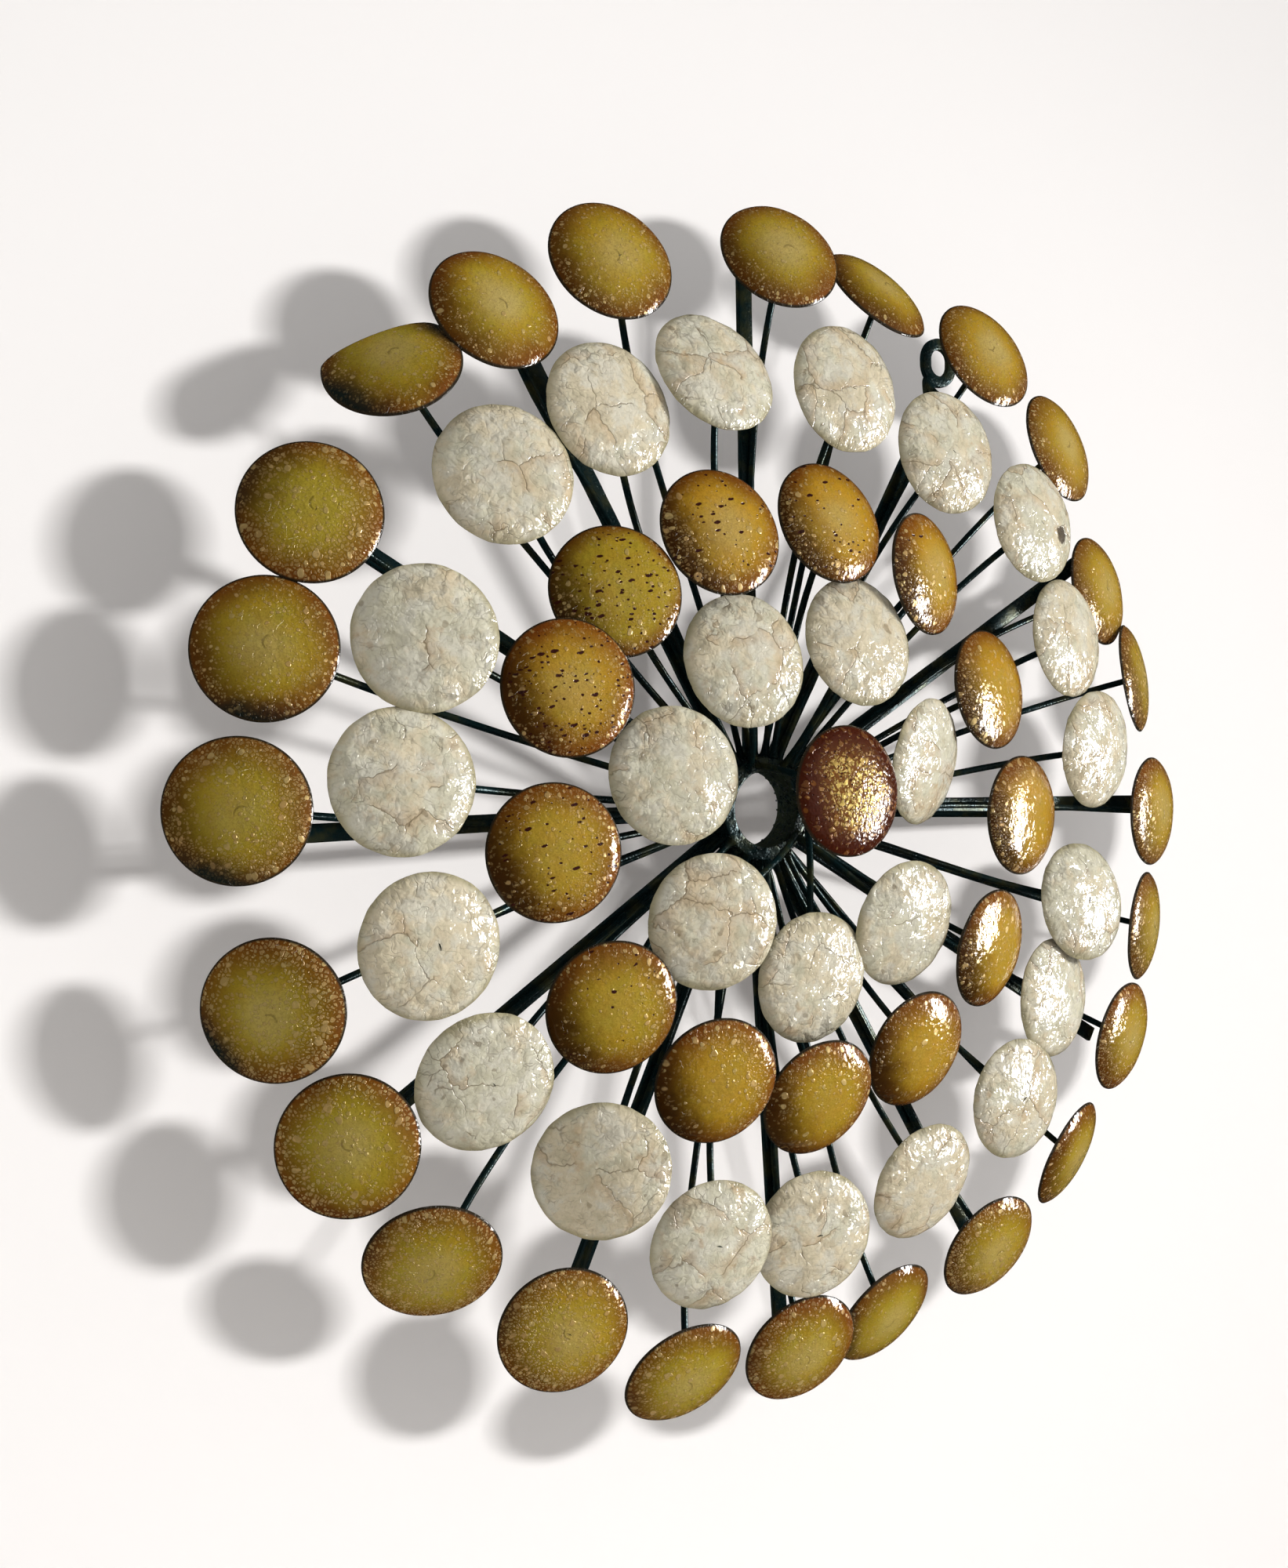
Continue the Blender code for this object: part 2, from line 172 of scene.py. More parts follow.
def ring_disc(drops, amber, red, flakes, dashes, rim, **more):
    own = dict(more, drops=drops, amber=amber, red=red, flakes=flakes, dashes=dashes, rim=rim)
    return {**RING_DEFAULTS, **own}


GOLD_FINISH = {
    "arm_09": outer_disc(0.08, 0.1, 0.8, 195, 1.1, 2.6, rim=0.8, burnt=0.7, pale=0.3),
    "outer_stalk_01": outer_disc(0.23, 0.3, 0.75, 190, 0.55, 2.2, burnt=0.6),
    "arm_10": outer_disc(0, 0.5, 0.5, 290, 1.2, 3.1, rim=0.8, burnt=0.7, pale=0.1, burnt_side=300),
    "outer_stalk_02": outer_disc(0.16, 0.5, 0.9, 38, 0.6, 2.0, two_sided=1, flat=1),
    "arm_11": outer_disc(0.27, 0.6, 0.25, 290, 0.45, 2.0, pale=0.8),
    "outer_stalk_03": outer_disc(0.4, 0.3, 0.15, 330, 0.60, 2.0),
    "arm_12": outer_disc(0.36, 0.5, 0.35, 270, 0.60, 1.8, pale=0.75),
    "outer_stalk_04": outer_disc(0.42, 0.2, 0.4, 300, 0.4, 1.8),
    "arm_01": outer_disc(0.62, 0.15, 0.1, 330, 0.65, 1.8, rim=0.5, drops=200, burnt=0.15, pale=0.8),
    "outer_stalk_05": outer_disc(0.55, 0.2, 0.1, 300, 0.75, 1.8, drops=200, burnt=0.15, pale=0.7),
    "arm_02": outer_disc(0.55, 0.3, 0.3, 270, 0.8, 1.8, drops=190, burnt=0.3),
    "arm_03": outer_disc(0.52, 0.7, 0.2, 0, 0.95, 2.2, drops=235),
    "outer_stalk_06": outer_disc(0.45, 0.4, 0.1, 225, 0.8, 1.8, drops=235),
    "outer_stalk_07": outer_disc(0.38, 0.5, 0.3, 0, 0.8, 2.0, drops=235),
    "arm_04": outer_disc(0.45, 0.8, 0.2, 30, 0.7, 2.0, drops=250),
    "outer_stalk_08": outer_disc(0.35, 0.4, 0.3, 45, 0.4, 2.0, drops=250),
    "arm_05": outer_disc(0.3, 0.6, 0.5, 200, 1.0, 2.8, drops=220, net=0.6),
    "outer_stalk_09": outer_disc(0.14, 0.2, 0.8, 250, 0.4, 2.0, drops=220, burnt=0.1),
    "arm_06": outer_disc(0.2, 0.8, 0.45, 265, 1.1, 3.3, rim=0.8, drops=230, burnt=0.3, sided=0.6),
    "outer_stalk_10": outer_disc(0.11, 0.3, 0.5, 250, 1.1, 3.3, drops=240, sided=0.7, burnt=0.2),
    "arm_07": outer_disc(0.32, 0.5, 0.45, 290, 1.1, 2.4, drops=250, burnt=0.4, net=0.7),
    "outer_stalk_11": outer_disc(0.16, 0.3, 0.5, 290, 1.1, 2.3, drops=230, sided=0.5, burnt=0.2,
                                 net=0.75),
    "arm_08": outer_disc(0.07, 0.6, 0.4, 180, 0.85, 3.0, drops=270, burnt=0.3, net=0.75),
    "outer_stalk_12": outer_disc(0.05, 0.3, 0.9, 235, 1.1, 3.2, rim=0.9, net=0.75, burnt=0.3,
                                 drops=110),
    "gold_stalk_01": ring_disc(90, 0.5, 0.7, 0.8, 0.45, 0.8),
    "gold_stalk_02": ring_disc(110, 0.75, 1.0, 0.7, 1.0, 0.7, char=0, pale=0.35),
    "gold_stalk_03": ring_disc(150, 0.3, 0.3, 0.6, 0.85, 0.1, char=0),
    "gold_stalk_04": ring_disc(185, 0.9, 0.6, 0.75, 0.4, 0.5, flake_size=2.9, char=0.1, pale=0.5),
    "gold_stalk_05": ring_disc(200, 0.9, 0.6, 0.80, 0.35, 0.5, flake_size=2.9, char=0.1, pale=0.5),
    "gold_stalk_06": ring_disc(215, 0.85, 0.9, 0.90, 0.1, 0.7, flake_size=2.9, char=0.2, pale=0.5),
    "gold_stalk_07": ring_disc(200, 0.8, 0.6, 1.1, 0, 0.6, flake_size=2.9),
    "gold_stalk_08": ring_disc(310, 0.8, 0.5, 1.1, 0, 0.6, flake_size=2.9),
    "gold_stalk_09": ring_disc(330, 0.7, 0.7, 0.8, 0, 0.6, flake_size=2.8),
    "gold_stalk_10": ring_disc(70, 0.75, 0.6, 0.7, 0, 0.7, flake_size=2.8),
    "gold_stalk_11": ring_disc(50, 0.6, 0.7, 0.8, 0, 0.6, flake_size=2.8),
    "gold_stalk_12": ring_disc(60, 0.7, 0.8, 0.75, 0, 0.6, flake_size=2.9),
    "gold_stalk_13": ring_disc(95, 0.4, 0.4, 0.6, 0.15, 0.7),
}


# ---------------------------------------------------------------------------------------------
# Reading the solids
# ---------------------------------------------------------------------------------------------

def solid_corners(node):
    """A CAD node's corners in the row frame, each once."""
    flat = np.zeros(len(frame["nodes"][node].data.vertices) * 3)
    frame["nodes"][node].data.vertices.foreach_get("co", flat)
    return np.unique(flat.reshape(-1, 3).round(6), axis=0)


def collar_middle():
    """The collar's back ring is the part of the hub nearest the wall."""
    corners = solid_corners(HUB_NODE)
    back = corners[:, 1].max()
    ring = corners[corners[:, 1] > back - SAME_FACE]
    return Vector((ring[:, 0].mean(), back - COLLAR_DEPTH / 2, ring[:, 2].mean()))


MIDDLE = collar_middle()
FACE = Matrix.Translation(MIDDLE) @ Matrix.Rotation(math.pi / 2, 4, "X")
FACE_INVERSE = np.array(FACE.inverted())


def face_corners(node):
    return solid_corners(node) @ FACE_INVERSE[:3, :3].T + FACE_INVERSE[:3, 3]


def find_discs(node, diameter):
    """Middle of the rim and facing of each disc. Opposite rim corners are one diameter apart."""
    corners = face_corners(node)
    apart = np.linalg.norm(corners[:, None] - corners[None], axis=2)
    first, second = np.nonzero(np.triu(np.abs(apart - diameter) < SAME_WIDTH))
    halfway = (corners[first] + corners[second]) / 2
    found = []
    while len(halfway):
        same = np.linalg.norm(halfway - halfway[0], axis=1) < SAME_SPOT
        if same.sum() >= FEWEST_PAIRS:
            rim = corners[np.unique(np.concatenate([first[same], second[same]]))]
            centre = rim.mean(axis=0)
            facing = np.linalg.svd(rim - centre)[2][2]
            facing = facing * np.sign(facing[2])
            found.append((Vector(centre + facing * SHEET / 2), Vector(facing)))
        first, second, halfway = first[~same], second[~same], halfway[~same]
    return found


def find_foot(node):
    """Middle of the end of a rod or bar that is nearest the collar."""
    corners = face_corners(node)
    reach = np.hypot(corners[:, 0], corners[:, 1])
    return Vector(corners[reach < reach.min() + SAME_END].mean(axis=0))


def bar_end(node, clock, width, thickness):
    """How far from the collar's middle a flat bar reaches."""
    corners = face_corners(node)
    along, across = np.array(radial(clock)), np.array(radial(clock + 90))
    beside = np.abs(np.abs(corners @ across) - width / 2) < SAME_FACE
    level = np.abs(np.abs(corners[:, 2] - BAR_HEIGHT) - thickness / 2) < SAME_FACE
    return float((corners @ along)[beside & level].max())


def nodes_called(start):
    return sorted(name for name in frame["nodes"] if name.startswith(start))


def round_from_nine(found):
    return (clock_of(found[0]) - 260) % 360


def hub_discs(diameter):
    return sorted(find_discs(HUB_NODE, diameter), key=round_from_nine)


# ---------------------------------------------------------------------------------------------
# Geometry helpers
# ---------------------------------------------------------------------------------------------

def radial(clock):
    return Vector((math.sin(math.radians(clock)), math.cos(math.radians(clock)), 0))


def place(clock, reach, height):
    return radial(clock) * reach + OUT * height


def clock_of(point):
    return math.degrees(math.atan2(point.x, point.y)) % 360


def dome_height(share):
    return CROWN * (1 - share ** 2) + ROLL * (1 - share ** ROLL_POWER)


def rod_end(start, middle, facing):
    """Where a rod meets the sheet behind the top of a dome, and its direction there."""
    top = middle + facing * (CROWN + ROLL - SHEET)
    along = ((top - start).normalized() * ROD_AIM + facing * ROD_SQUARE).normalized()
    return top - facing * ROD_SHORT, along


def sweep(start, leaving, end, arriving, count, crowded=0.0):
    """Points along a gently bowed line with given directions at both ends, crowded to its ends."""
    span = (end - start).length
    near = start + leaving * span * 0.4
    far = end - arriving * span * 0.3
    points = []
    for i in range(count):
        t = i / (count - 1)
        t -= crowded * math.sin(math.tau * t)
        s = 1 - t
        points.append(start * s ** 3 + near * 3 * s * s * t + far * 3 * s * t * t + end * t ** 3)
    return points


def heading(points, i):
    """The direction of a line of points at one of them."""
    return (points[min(i + 1, len(points) - 1)] - points[max(i - 1, 0)]).normalized()


def ripple(point, size, seed):
    """Smooth noise about zero that changes over a length of size."""
    return noise.noise(point / size + Vector((seed, seed * 0.37, -seed)))


def rounded_section(width, height, radius, steps=3):
    """Corners of a rectangle with rounded edges, counter-clockwise."""
    section = []
    for k, (right, high) in enumerate([(1, 1), (-1, 1), (-1, -1), (1, -1)]):
        for i in range(steps + 1):
            turn = math.pi / 2 * (k + i / steps)
            section.append((right * (width / 2 - radius) + radius * math.cos(turn),
                            high * (height / 2 - radius) + radius * math.sin(turn)))
    return section


class Shape:
    """Corners and faces of a piece while it is being made, in the face frame or a local one."""

    def __init__(self):
        self.corners = []
        self.faces = []

    def rings(self, rings, closed=False, around=True):
        """Joins rows of corners with four-sided faces; around closes each row on itself."""
        base = len(self.corners)
        count = len(rings[0])
        for ring in rings:
            self.corners.extend(ring)
        for i in range(len(rings) - 1):
            for j in range(count if around else count - 1):
                a = base + i * count + j
                b = base + i * count + (j + 1) % count
                self.faces.append((a, b, b + count, a + count))
        if closed:
            last = base + (len(rings) - 1) * count
            self.faces.append(tuple(base + j for j in reversed(range(count))))
            self.faces.append(tuple(last + j for j in range(count)))

    def bar(self, points, section, rough, seed):
        """Carries a closed section of (across, out) corners along points."""
        rings = []
        for i, point in enumerate(points):
            along = heading(points, i)
            across = along.cross(OUT).normalized()
            above = across.cross(along)
            ring = []
            for right, high in section:
                corner = point + across * right + above * high
                wave = ripple(corner, 0.012, seed) * rough
                ring.append(corner + above * wave + across * wave * 0.5)
            rings.append(ring)
        self.rings(rings, closed=True)

    def rod(self, points, radius, sides, seed):
        """A round rod along points, with a weld fillet at both ends."""
        travelled = [0.0]
        for a, b in zip(points, points[1:]):
            travelled.append(travelled[-1] + (b - a).length)
        across = heading(points, 0).orthogonal().normalized()
        rings = []
        for i, point in enumerate(points):
            along = heading(points, i)
            across = (across - along * across.dot(along)).normalized()
            above = along.cross(across)
            thick = radius
            for (swell, reach), way in ((FOOT_FILLET, travelled[i]),
                                        (END_FILLET, travelled[-1] - travelled[i])):
                thick += swell * math.exp(-(way / reach) ** 2)
            ring = []
            for j in range(sides):
                turn = math.tau * j / sides
                way = across * math.cos(turn) + above * math.sin(turn)
                ring.append(point + way * (thick + ripple(point + way * thick, 0.006, seed) * 0.00012))
            rings.append(ring)
        self.rings(rings, closed=True)

    def blob(self, middle, size, stretch, axis, seed, detail=1):
        """A lump of weld metal, stretched along axis."""
        shape = bmesh.new()
        bmesh.ops.create_icosphere(shape, subdivisions=detail, radius=1)
        turn = axis.to_track_quat("Z", "Y").to_matrix()
        length = size * stretch
        base = len(self.corners)
        for vertex in shape.verts:
            swell = 1 + 0.25 * noise.noise(vertex.co * 1.7 + Vector((seed, 0, seed)))
            scaled = Vector((vertex.co.x * size, vertex.co.y * size, vertex.co.z * length))
            self.corners.append(middle + turn @ (scaled * swell))
        for face in shape.faces:
            self.faces.append(tuple(base + vertex.index for vertex in face.verts))
        shape.free()

    def build(self, name, materials, pose=FACE, sharp=40, second=()):
        """The finished object. Faces numbered in second get the second material."""
        mesh = bpy.data.meshes.new(name)
        mesh.from_pydata(self.corners, [], self.faces)
        for item in materials:
            mesh.materials.append(item)
        for face in mesh.polygons:
            face.material_index = int(face.index in second)
        mesh.shade_smooth()
        mesh.set_sharp_from_angle(angle=math.radians(sharp))
        mesh.validate()
        piece = bpy.data.objects.new(name, mesh)
        bpy.context.scene.collection.objects.link(piece)
        piece.matrix_world = pose
        return piece

    def dress(self, name, node, slot="dark_steel", finishes=("dark_steel",), **rest):
        """Builds the shape as the dressing of a CAD node."""
        piece = self.build(name, [finish(item) for item in finishes], **rest)
        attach(piece, "root")
        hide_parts(node)
        return piece


# ---------------------------------------------------------------------------------------------
# Shader helpers
# ---------------------------------------------------------------------------------------------

class Value:
    """What a node puts out, to be calculated with as a number, or as a vector where it is one.

    A product only makes a node of its own where it isn't added to something, because one node
    can multiply and add.
    """

    def __init__(self, nodes, socket=None, factors=()):
        self.nodes = nodes
        self.made = socket
        self.factors = factors
        self.is_vector = factors[0].is_vector if factors else socket.type in ("VECTOR", "RGBA")

    @property
    def socket(self):
        if self.made is None:
            self.made = self.reckon("MULTIPLY", *self.factors).made
        return self.made

    def reckon(self, operation, *inputs):
        kind = self.nodes.vector if self.is_vector else self.nodes.math
        return kind(operation, *inputs)

    def __add__(self, other):
        if self.factors:
            return self.reckon("MULTIPLY_ADD", *self.factors, other)
        if isinstance(other, Value) and other.factors:
            return self.reckon("MULTIPLY_ADD", *other.factors, self)
        return self.reckon("ADD", self, other)

    def __sub__(self, other):
        if isinstance(other, (int, float)):
            return self + -other
        return self.reckon("SUBTRACT", self, other)

    def __rsub__(self, other):
        return self.reckon("SUBTRACT", other, self)

    def __mul__(self, other):
        return Value(self.nodes, factors=(self, other))

    def __truediv__(self, other):
        return self.reckon("DIVIDE", self, other)

    def __rtruediv__(self, other):
        return self.reckon("DIVIDE", other, self)

    def __abs__(self):
        return self.reckon("ABSOLUTE", self)


class Nodes:
    """Short ways to add nodes to one tree. An input may be a number, a colour or a Value."""

    def __init__(self, tree):
        self.tree = tree

    def feed(self, socket, value):
        if isinstance(value, Value):
            self.tree.links.new(value.socket, socket)
        elif socket.type == "RGBA":
            socket.default_value = (*value, 1)
        elif socket.type == "VECTOR" and isinstance(value, (int, float)):
            socket.default_value = (value, value, value)
        else:
            socket.default_value = value

    def add(self, kind, inputs=None, **settings):
        """Adds a node and gives what it puts out, by name."""
        node = self.tree.nodes.new(kind)
        for name, value in settings.items():
            setattr(node, name, value)
        for name, value in (inputs or {}).items():
            self.feed(node.inputs[name], value)
        return {socket.name: Value(self, socket) for socket in node.outputs if socket.enabled}

    def math(self, operation, *inputs, clamp=False):
        return self.add("ShaderNodeMath", dict(enumerate(inputs)), operation=operation,
                        use_clamp=clamp)["Value"]

    def most(self, a, *others):
        for other in others:
            a = self.math("MAXIMUM", a, other)
        return a

    def vector(self, operation, *inputs):
        return self.add("ShaderNodeVectorMath", dict(enumerate(inputs)), operation=operation)["Vector"]

    def dot(self, a, b):
        return self.add("ShaderNodeVectorMath", {0: a, 1: b}, operation="DOT_PRODUCT")["Value"]

    def length(self, a):
        return self.add("ShaderNodeVectorMath", {0: a}, operation="LENGTH")["Value"]

    def combine(self, x, y, z):
        return self.add("ShaderNodeCombineXYZ", {0: x, 1: y, 2: z})["Vector"]

    def step(self, value, low, high):
        """0 below low and 1 above high, with a smooth change between; low may be the larger."""
        return self.add("ShaderNodeMapRange", {0: value, 1: low, 2: high},
                        interpolation_type="SMOOTHSTEP")["Result"]

    def mix(self, factor, a, b, blend="MIX"):
        return self.add("ShaderNodeMix", {0: factor, 6: a, 7: b}, data_type="RGBA",
                        blend_type=blend, clamp_factor=True)["Result"]

    def coats(self, base, *coats):
        """Lays coats of (strength, colour) over a base colour, one after another."""
        for strength, colour in coats:
            base = self.mix(strength, base, colour)
        return base

    def noise(self, place, size, detail=2.0, roughness=0.5, output="Fac"):
        return self.add("ShaderNodeTexNoise", {"Vector": place, "Scale": 1 / size, "Detail": detail,
                                               "Roughness": roughness})[output]

    def warped(self, place, size, detail, reach, roughness=0.5):
        """A place moved about by noise, by up to about half of reach."""
        return place + (self.noise(place, size, detail, roughness, "Color") - MID_GREY) * reach

    def cells(self, place, size, feature="F1"):
        return self.add("ShaderNodeTexVoronoi", {"Vector": place, "Scale": 1 / size}, feature=feature)

    def edge(self, place, size):
        """How far a place is from the edge of its cell."""
        return self.cells(place, size, "DISTANCE_TO_EDGE")["Distance"]

    def picks(self, colour):
        """Three random values of a cell, from its colour."""
        return list(self.add("ShaderNodeSeparateColor", {0: colour}).values())

    def flats(self, place, size):
        """The height of a surface broken into flats, each of which leans its own way."""
        cell = self.cells(place, size)
        return self.dot(place - cell["Position"], cell["Color"] - MID_GREY) / size

    def local(self):
        return self.add("ShaderNodeTexCoord")["Object"]

    def of_disc(self, name):
        """A value that belongs to the disc as a whole, such as how red its rim was sprayed."""
        return self.add("ShaderNodeAttribute", attribute_type="OBJECT", attribute_name=name)["Fac"]

    def way_of_disc(self, name):
        """A direction in the plane of the disc that belongs to the disc as a whole."""
        return self.combine(self.of_disc(name + "_x"), self.of_disc(name + "_y"), 0.0)

    def use(self, group, **inputs):
        return self.add("ShaderNodeGroup", inputs, node_tree=bpy.data.node_groups[group])


class Group(Nodes):
    """A node group. An input without a default is a place; give() makes the outputs."""

    def __init__(self, name, **inputs):
        super().__init__(bpy.data.node_groups.new(name, "ShaderNodeTree"))
        for label, default in inputs.items():
            kind = "NodeSocketVector" if default is None else "NodeSocketFloat"
            socket = self.tree.interface.new_socket(label, in_out="INPUT", socket_type=kind)
            if default is not None:
                socket.default_value = default
        given = self.add("NodeGroupInput")
        self.given = [given[label] for label in inputs]

    def give(self, **results):
        for label, value in results.items():
            kind = "NodeSocketVector" if value.is_vector else "NodeSocketFloat"
            self.tree.interface.new_socket(label, in_out="OUTPUT", socket_type=kind)
        self.add("NodeGroupOutput", results)


class Finish(Nodes):
    """A material with one shader, whose constants are set by name."""

    def __init__(self, name, **constants):
        self.material = bpy.data.materials.new(name)
        self.material.use_nodes = True
        super().__init__(self.material.node_tree)
        self.shader = self.tree.nodes["Principled BSDF"]
        for key, value in constants.items():
            self.feed(self.shader.inputs[key.replace("_", " ")], value)

    def surface(self, base, rough, relief, depth, metal=None):
        """Feeds the shader: colour, roughness, a height in parts of depth, and metal."""
        self.feed(self.shader.inputs["Base Color"], base)
        self.feed(self.shader.inputs["Roughness"], rough)
        if metal:
            self.feed(self.shader.inputs["Metallic"], metal)
        bump = self.add("ShaderNodeBump", {"Height": relief, "Distance": depth, "Strength": 1.0})
        self.feed(self.shader.inputs["Normal"], bump["Normal"])
        return self.material


def make_blotches():
    """Scattered round or long blots with soft ragged edges."""
    nodes = Group("blotches", Place=None, Size=0.002, Stretch=1.0, Cover=0.5, Ragged=0.35)
    place, size, stretch, cover, ragged = nodes.given
    moved = nodes.warped(place, size, 1.0, size * ragged)
    cell = nodes.cells(moved * nodes.combine(1 / stretch, 1.0, 1.0), size)
    there, width, tone = nodes.picks(cell["Color"])
    share = cell["Distance"] / (width * 0.22 + 0.16)
    nodes.give(Mask=nodes.math("LESS_THAN", there, cover) * nodes.step(share, 1.0, 0.7), Tone=tone)


def make_flakes():
    """Angular flakes of leaf that crowd against each other, with dark gaps between them."""
    nodes = Group("flakes", Place=None, Size=0.003, Cover=0.5, Ragged=0.5)
    place, size, cover, ragged = nodes.given
    moved = nodes.warped(place, size, 2.0, size * ragged)
    there, width, tone = nodes.picks(nodes.cells(moved, size)["Color"])
    inside = nodes.step(nodes.edge(moved, size) - (width * 0.16 + 0.04), 0.0, 0.09)
    nodes.give(Mask=nodes.math("LESS_THAN", there, cover) * inside, Tone=tone)


def make_disc_zones():
    """Where a point lies on a disc: its share of the radius, and a place that differs per disc."""
    nodes = Group("disc zones", Radius=0.045, Seed=0.0, Waver=0.1)
    radius, seed, waver = nodes.given
    flat = nodes.local() * (1, 1, 0)
    share = nodes.length(flat) / radius
    spot = flat + nodes.combine(0.0, 0.0, seed * 0.37)
    wavering = (nodes.noise(spot, 0.030, 2.0) - 0.5) * waver + share
    nodes.give(Share=share, Wavering=wavering, Place=spot, Flat=flat * (1 / radius))


def make_mottle():
    """Soft cloudiness and a fine grain."""
    nodes = Group("mottle", Place=None, Size=0.01)
    place, size = nodes.given
    nodes.give(Cloud=nodes.noise(place, size, 4.0, 0.6), Grain=nodes.noise(place, size * 0.09, 2.0, 0.6))


def make_creases():
    """Folds of leaf that branch like cracks: a thin line, a tan band beside it and a small step."""
    nodes = Group("creases", Place=None, Size=0.02, Width=0.02, Cover=0.5)
    place, size, width, cover = nodes.given
    moved = nodes.warped(place, size * 0.45, 3.0, size * 0.38, 0.6)
    edge = nodes.edge(moved, size)
    banded, raised, _ = nodes.picks(nodes.cells(moved, size)["Color"])
    low = cover * -0.3 + 0.6
    there = nodes.step(nodes.noise(place + (0.7, 0.2, 0.4), size * 0.7, 1.0), low, low + 0.08)
    side = nodes.step(edge, 0.22, 0.0) * nodes.math("GREATER_THAN", banded, 0.55)
    nodes.give(Line=nodes.step(edge, width, 0.0) * there, Stain=side * there,
               Step=raised * nodes.step(edge, 0.0, 0.05))


def make_crumple():
    """Pressed foil: ridges and facets of two sizes, and thin sharp grooves here and there."""
    nodes = Group("crumple", Place=None, Size=0.012)
    place, size = nodes.given
    moved = nodes.warped(place, size * 0.8, 2.0, size * 0.6)
    shift = moved + (0.4, 0.1, 0.9)
    small = size * 0.45
    broad = abs(nodes.noise(moved, size, 1.0) - 0.5)
    tight = abs(nodes.noise(shift, small, 1.0) - 0.5)
    flats = nodes.flats(shift, small) * 0.5 + nodes.flats(moved, size)
    fade = nodes.noise(place + (0.2, 0.8, 0.3), size, 1.0)
    ridge = nodes.step(nodes.math("MINIMUM", broad, tight * 1.6), 0.012, 0.0)
    nodes.give(Facets=(tight * 0.55 + broad) * 0.8 + flats, Groove=ridge * nodes.step(fade, 0.42, 0.56))


# ---------------------------------------------------------------------------------------------
# Finishes
# ---------------------------------------------------------------------------------------------

def gold_lacquer(colours):
    """Olive to amber lacquer over gold leaf, browner and thickly flaked towards the rim."""
    nodes = Finish("gold_lacquer", IOR=1.50)
    of_disc, step, mix = nodes.of_disc, nodes.step, nodes.mix
    zone = nodes.use("disc zones", Seed=of_disc("seed"), Waver=0.40)
    where, flat, share = zone["Place"], zone["Flat"], zone["Wavering"]
    soft = nodes.use("mottle", Place=where, Size=0.012)
    cloud, grain = soft["Cloud"], soft["Grain"]
    tone = nodes.math("ADD", of_disc("amber"), cloud * 1.2 - 0.6, clamp=True)
    middle = mix(tone, colours.olive, colours.amber)
    # Greyer, paler middle: painted sheen, standing in for the room mirrored in the lacquer
    middle = mix(step(share, 0.60, 0.1) * of_disc("pale"), middle, colours.painted_sheen_middle)
    rim = mix(of_disc("red"), colours.brown, colours.maroon)
    base = mix(step(share, of_disc("rim") * -0.45 + 0.72, 1.02), middle, rim)
    base = mix(step(grain, 0.42, 0.66) * 0.42, base, colours.grain, "MULTIPLY")
    # Painted shade: one side of the disc darkened, the side turned from the light
    burnt = nodes.dot(flat, nodes.way_of_disc("burnt_side"))
    burnt = step(cloud * 0.5 + burnt - 0.25, 0.10, 0.88) * of_disc("burnt")
    # Blue-black smudge on one side of the rim, or on two: partly soot in the lacquer, partly painted
    # shade
    char = of_disc("char")
    towards = nodes.dot(flat, nodes.way_of_disc("side"))
    towards = nodes.most(towards, towards * (of_disc("two_sided") * -1.0))
    start = char * -0.35 + 0.85
    soot_and_shade_smudge = step(cloud * 0.35 + towards - 0.17, start, start + 0.45)
    soot_and_shade_smudge = soot_and_shade_smudge * nodes.math("MULTIPLY", char, 1.4, clamp=True)
    # Pale flakes and drops, crowded towards the rim and towards the side where the highlight falls,
    # and painted paler there as glints, partly real flakes: angular where they are large
    size = of_disc("flake_size") * 0.001
    drop_side = nodes.dot(flat, nodes.way_of_disc("drops"))
    flake_and_glint_crowd = step(drop_side * of_disc("sided") + share, 0.10, 1.05)
    cover = of_disc("flakes") * (flake_and_glint_crowd * 0.70 + 0.34)
    shift = where + (0.31, 0.17, 0.05)
    net = nodes.use("flakes", Place=where, Size=size * 0.85, Cover=cover, Ragged=0.8)
    drops = nodes.use("blotches", Place=shift, Size=size * 2.8, Cover=cover, Ragged=0.55)
    specks = nodes.use("blotches", Place=shift + (0.2, 0.1, 0.3), Size=size * 1.7, Cover=cover,
                       Ragged=0.45)
    flake_glint_and_shade = (flake_and_glint_crowd * 0.38 + 0.70) * (soot_and_shade_smudge * -0.9 + 1.0)
    marks = nodes.most(net["Mask"] * of_disc("net"), drops["Mask"], specks["Mask"])
    pale = mix(drops["Tone"], colours.flake, colours.flake_pink)
    # Dark runs, short dashes and dots
    tilt = nodes.add("ShaderNodeVectorRotate", {"Vector": where, "Angle": -0.2},
                     rotation_type="Z_AXIS")["Vector"]
    dashes = of_disc("dashes")
    runs = nodes.use("blotches", Place=tilt, Size=0.0040, Stretch=2.2, Cover=dashes * 0.6, Ragged=0.5)
    dots = nodes.use("blotches", Place=shift, Size=0.0030, Stretch=1.4, Cover=dashes * 0.4, Ragged=0.4)
    dark = nodes.most(runs["Mask"], dots["Mask"])
    # A dark curved nick in the middle, where the heat of the weld came through
    spot = flat - (-0.03, 0.09, 0.0)
    arc = step(abs(nodes.length(spot) - 0.10), 0.020, 0.008)
    lower = step(nodes.dot(spot, (-0.3, -0.95, 0.0)), 0.02, 0.07)
    nick = arc * lower * of_disc("nick")
    # The cut edge is darkest
    cut = step(zone["Share"], 0.965, 0.995)
    base = nodes.coats(base, (burnt, colours.burnt), (soot_and_shade_smudge, colours.soot_and_shade_smudge),
                       (marks * ((net["Tone"] * 0.4 + 0.48) * flake_glint_and_shade), pale), (dark, colours.dash),
                       (cut, colours.edge), (nick * 0.85, colours.burnt))
    relief = dark * -0.5 + marks + nodes.noise(shift, 0.0040, 1.0, 0.6) * 1.3
    relief = relief + nodes.flats(shift, 0.0058) * 1.2 + nick * -1.5
    return nodes.surface(base, marks * 0.26 + (grain * 0.08 + 0.04), relief, 0.00036,
                         marks * 0.25 + 0.04)


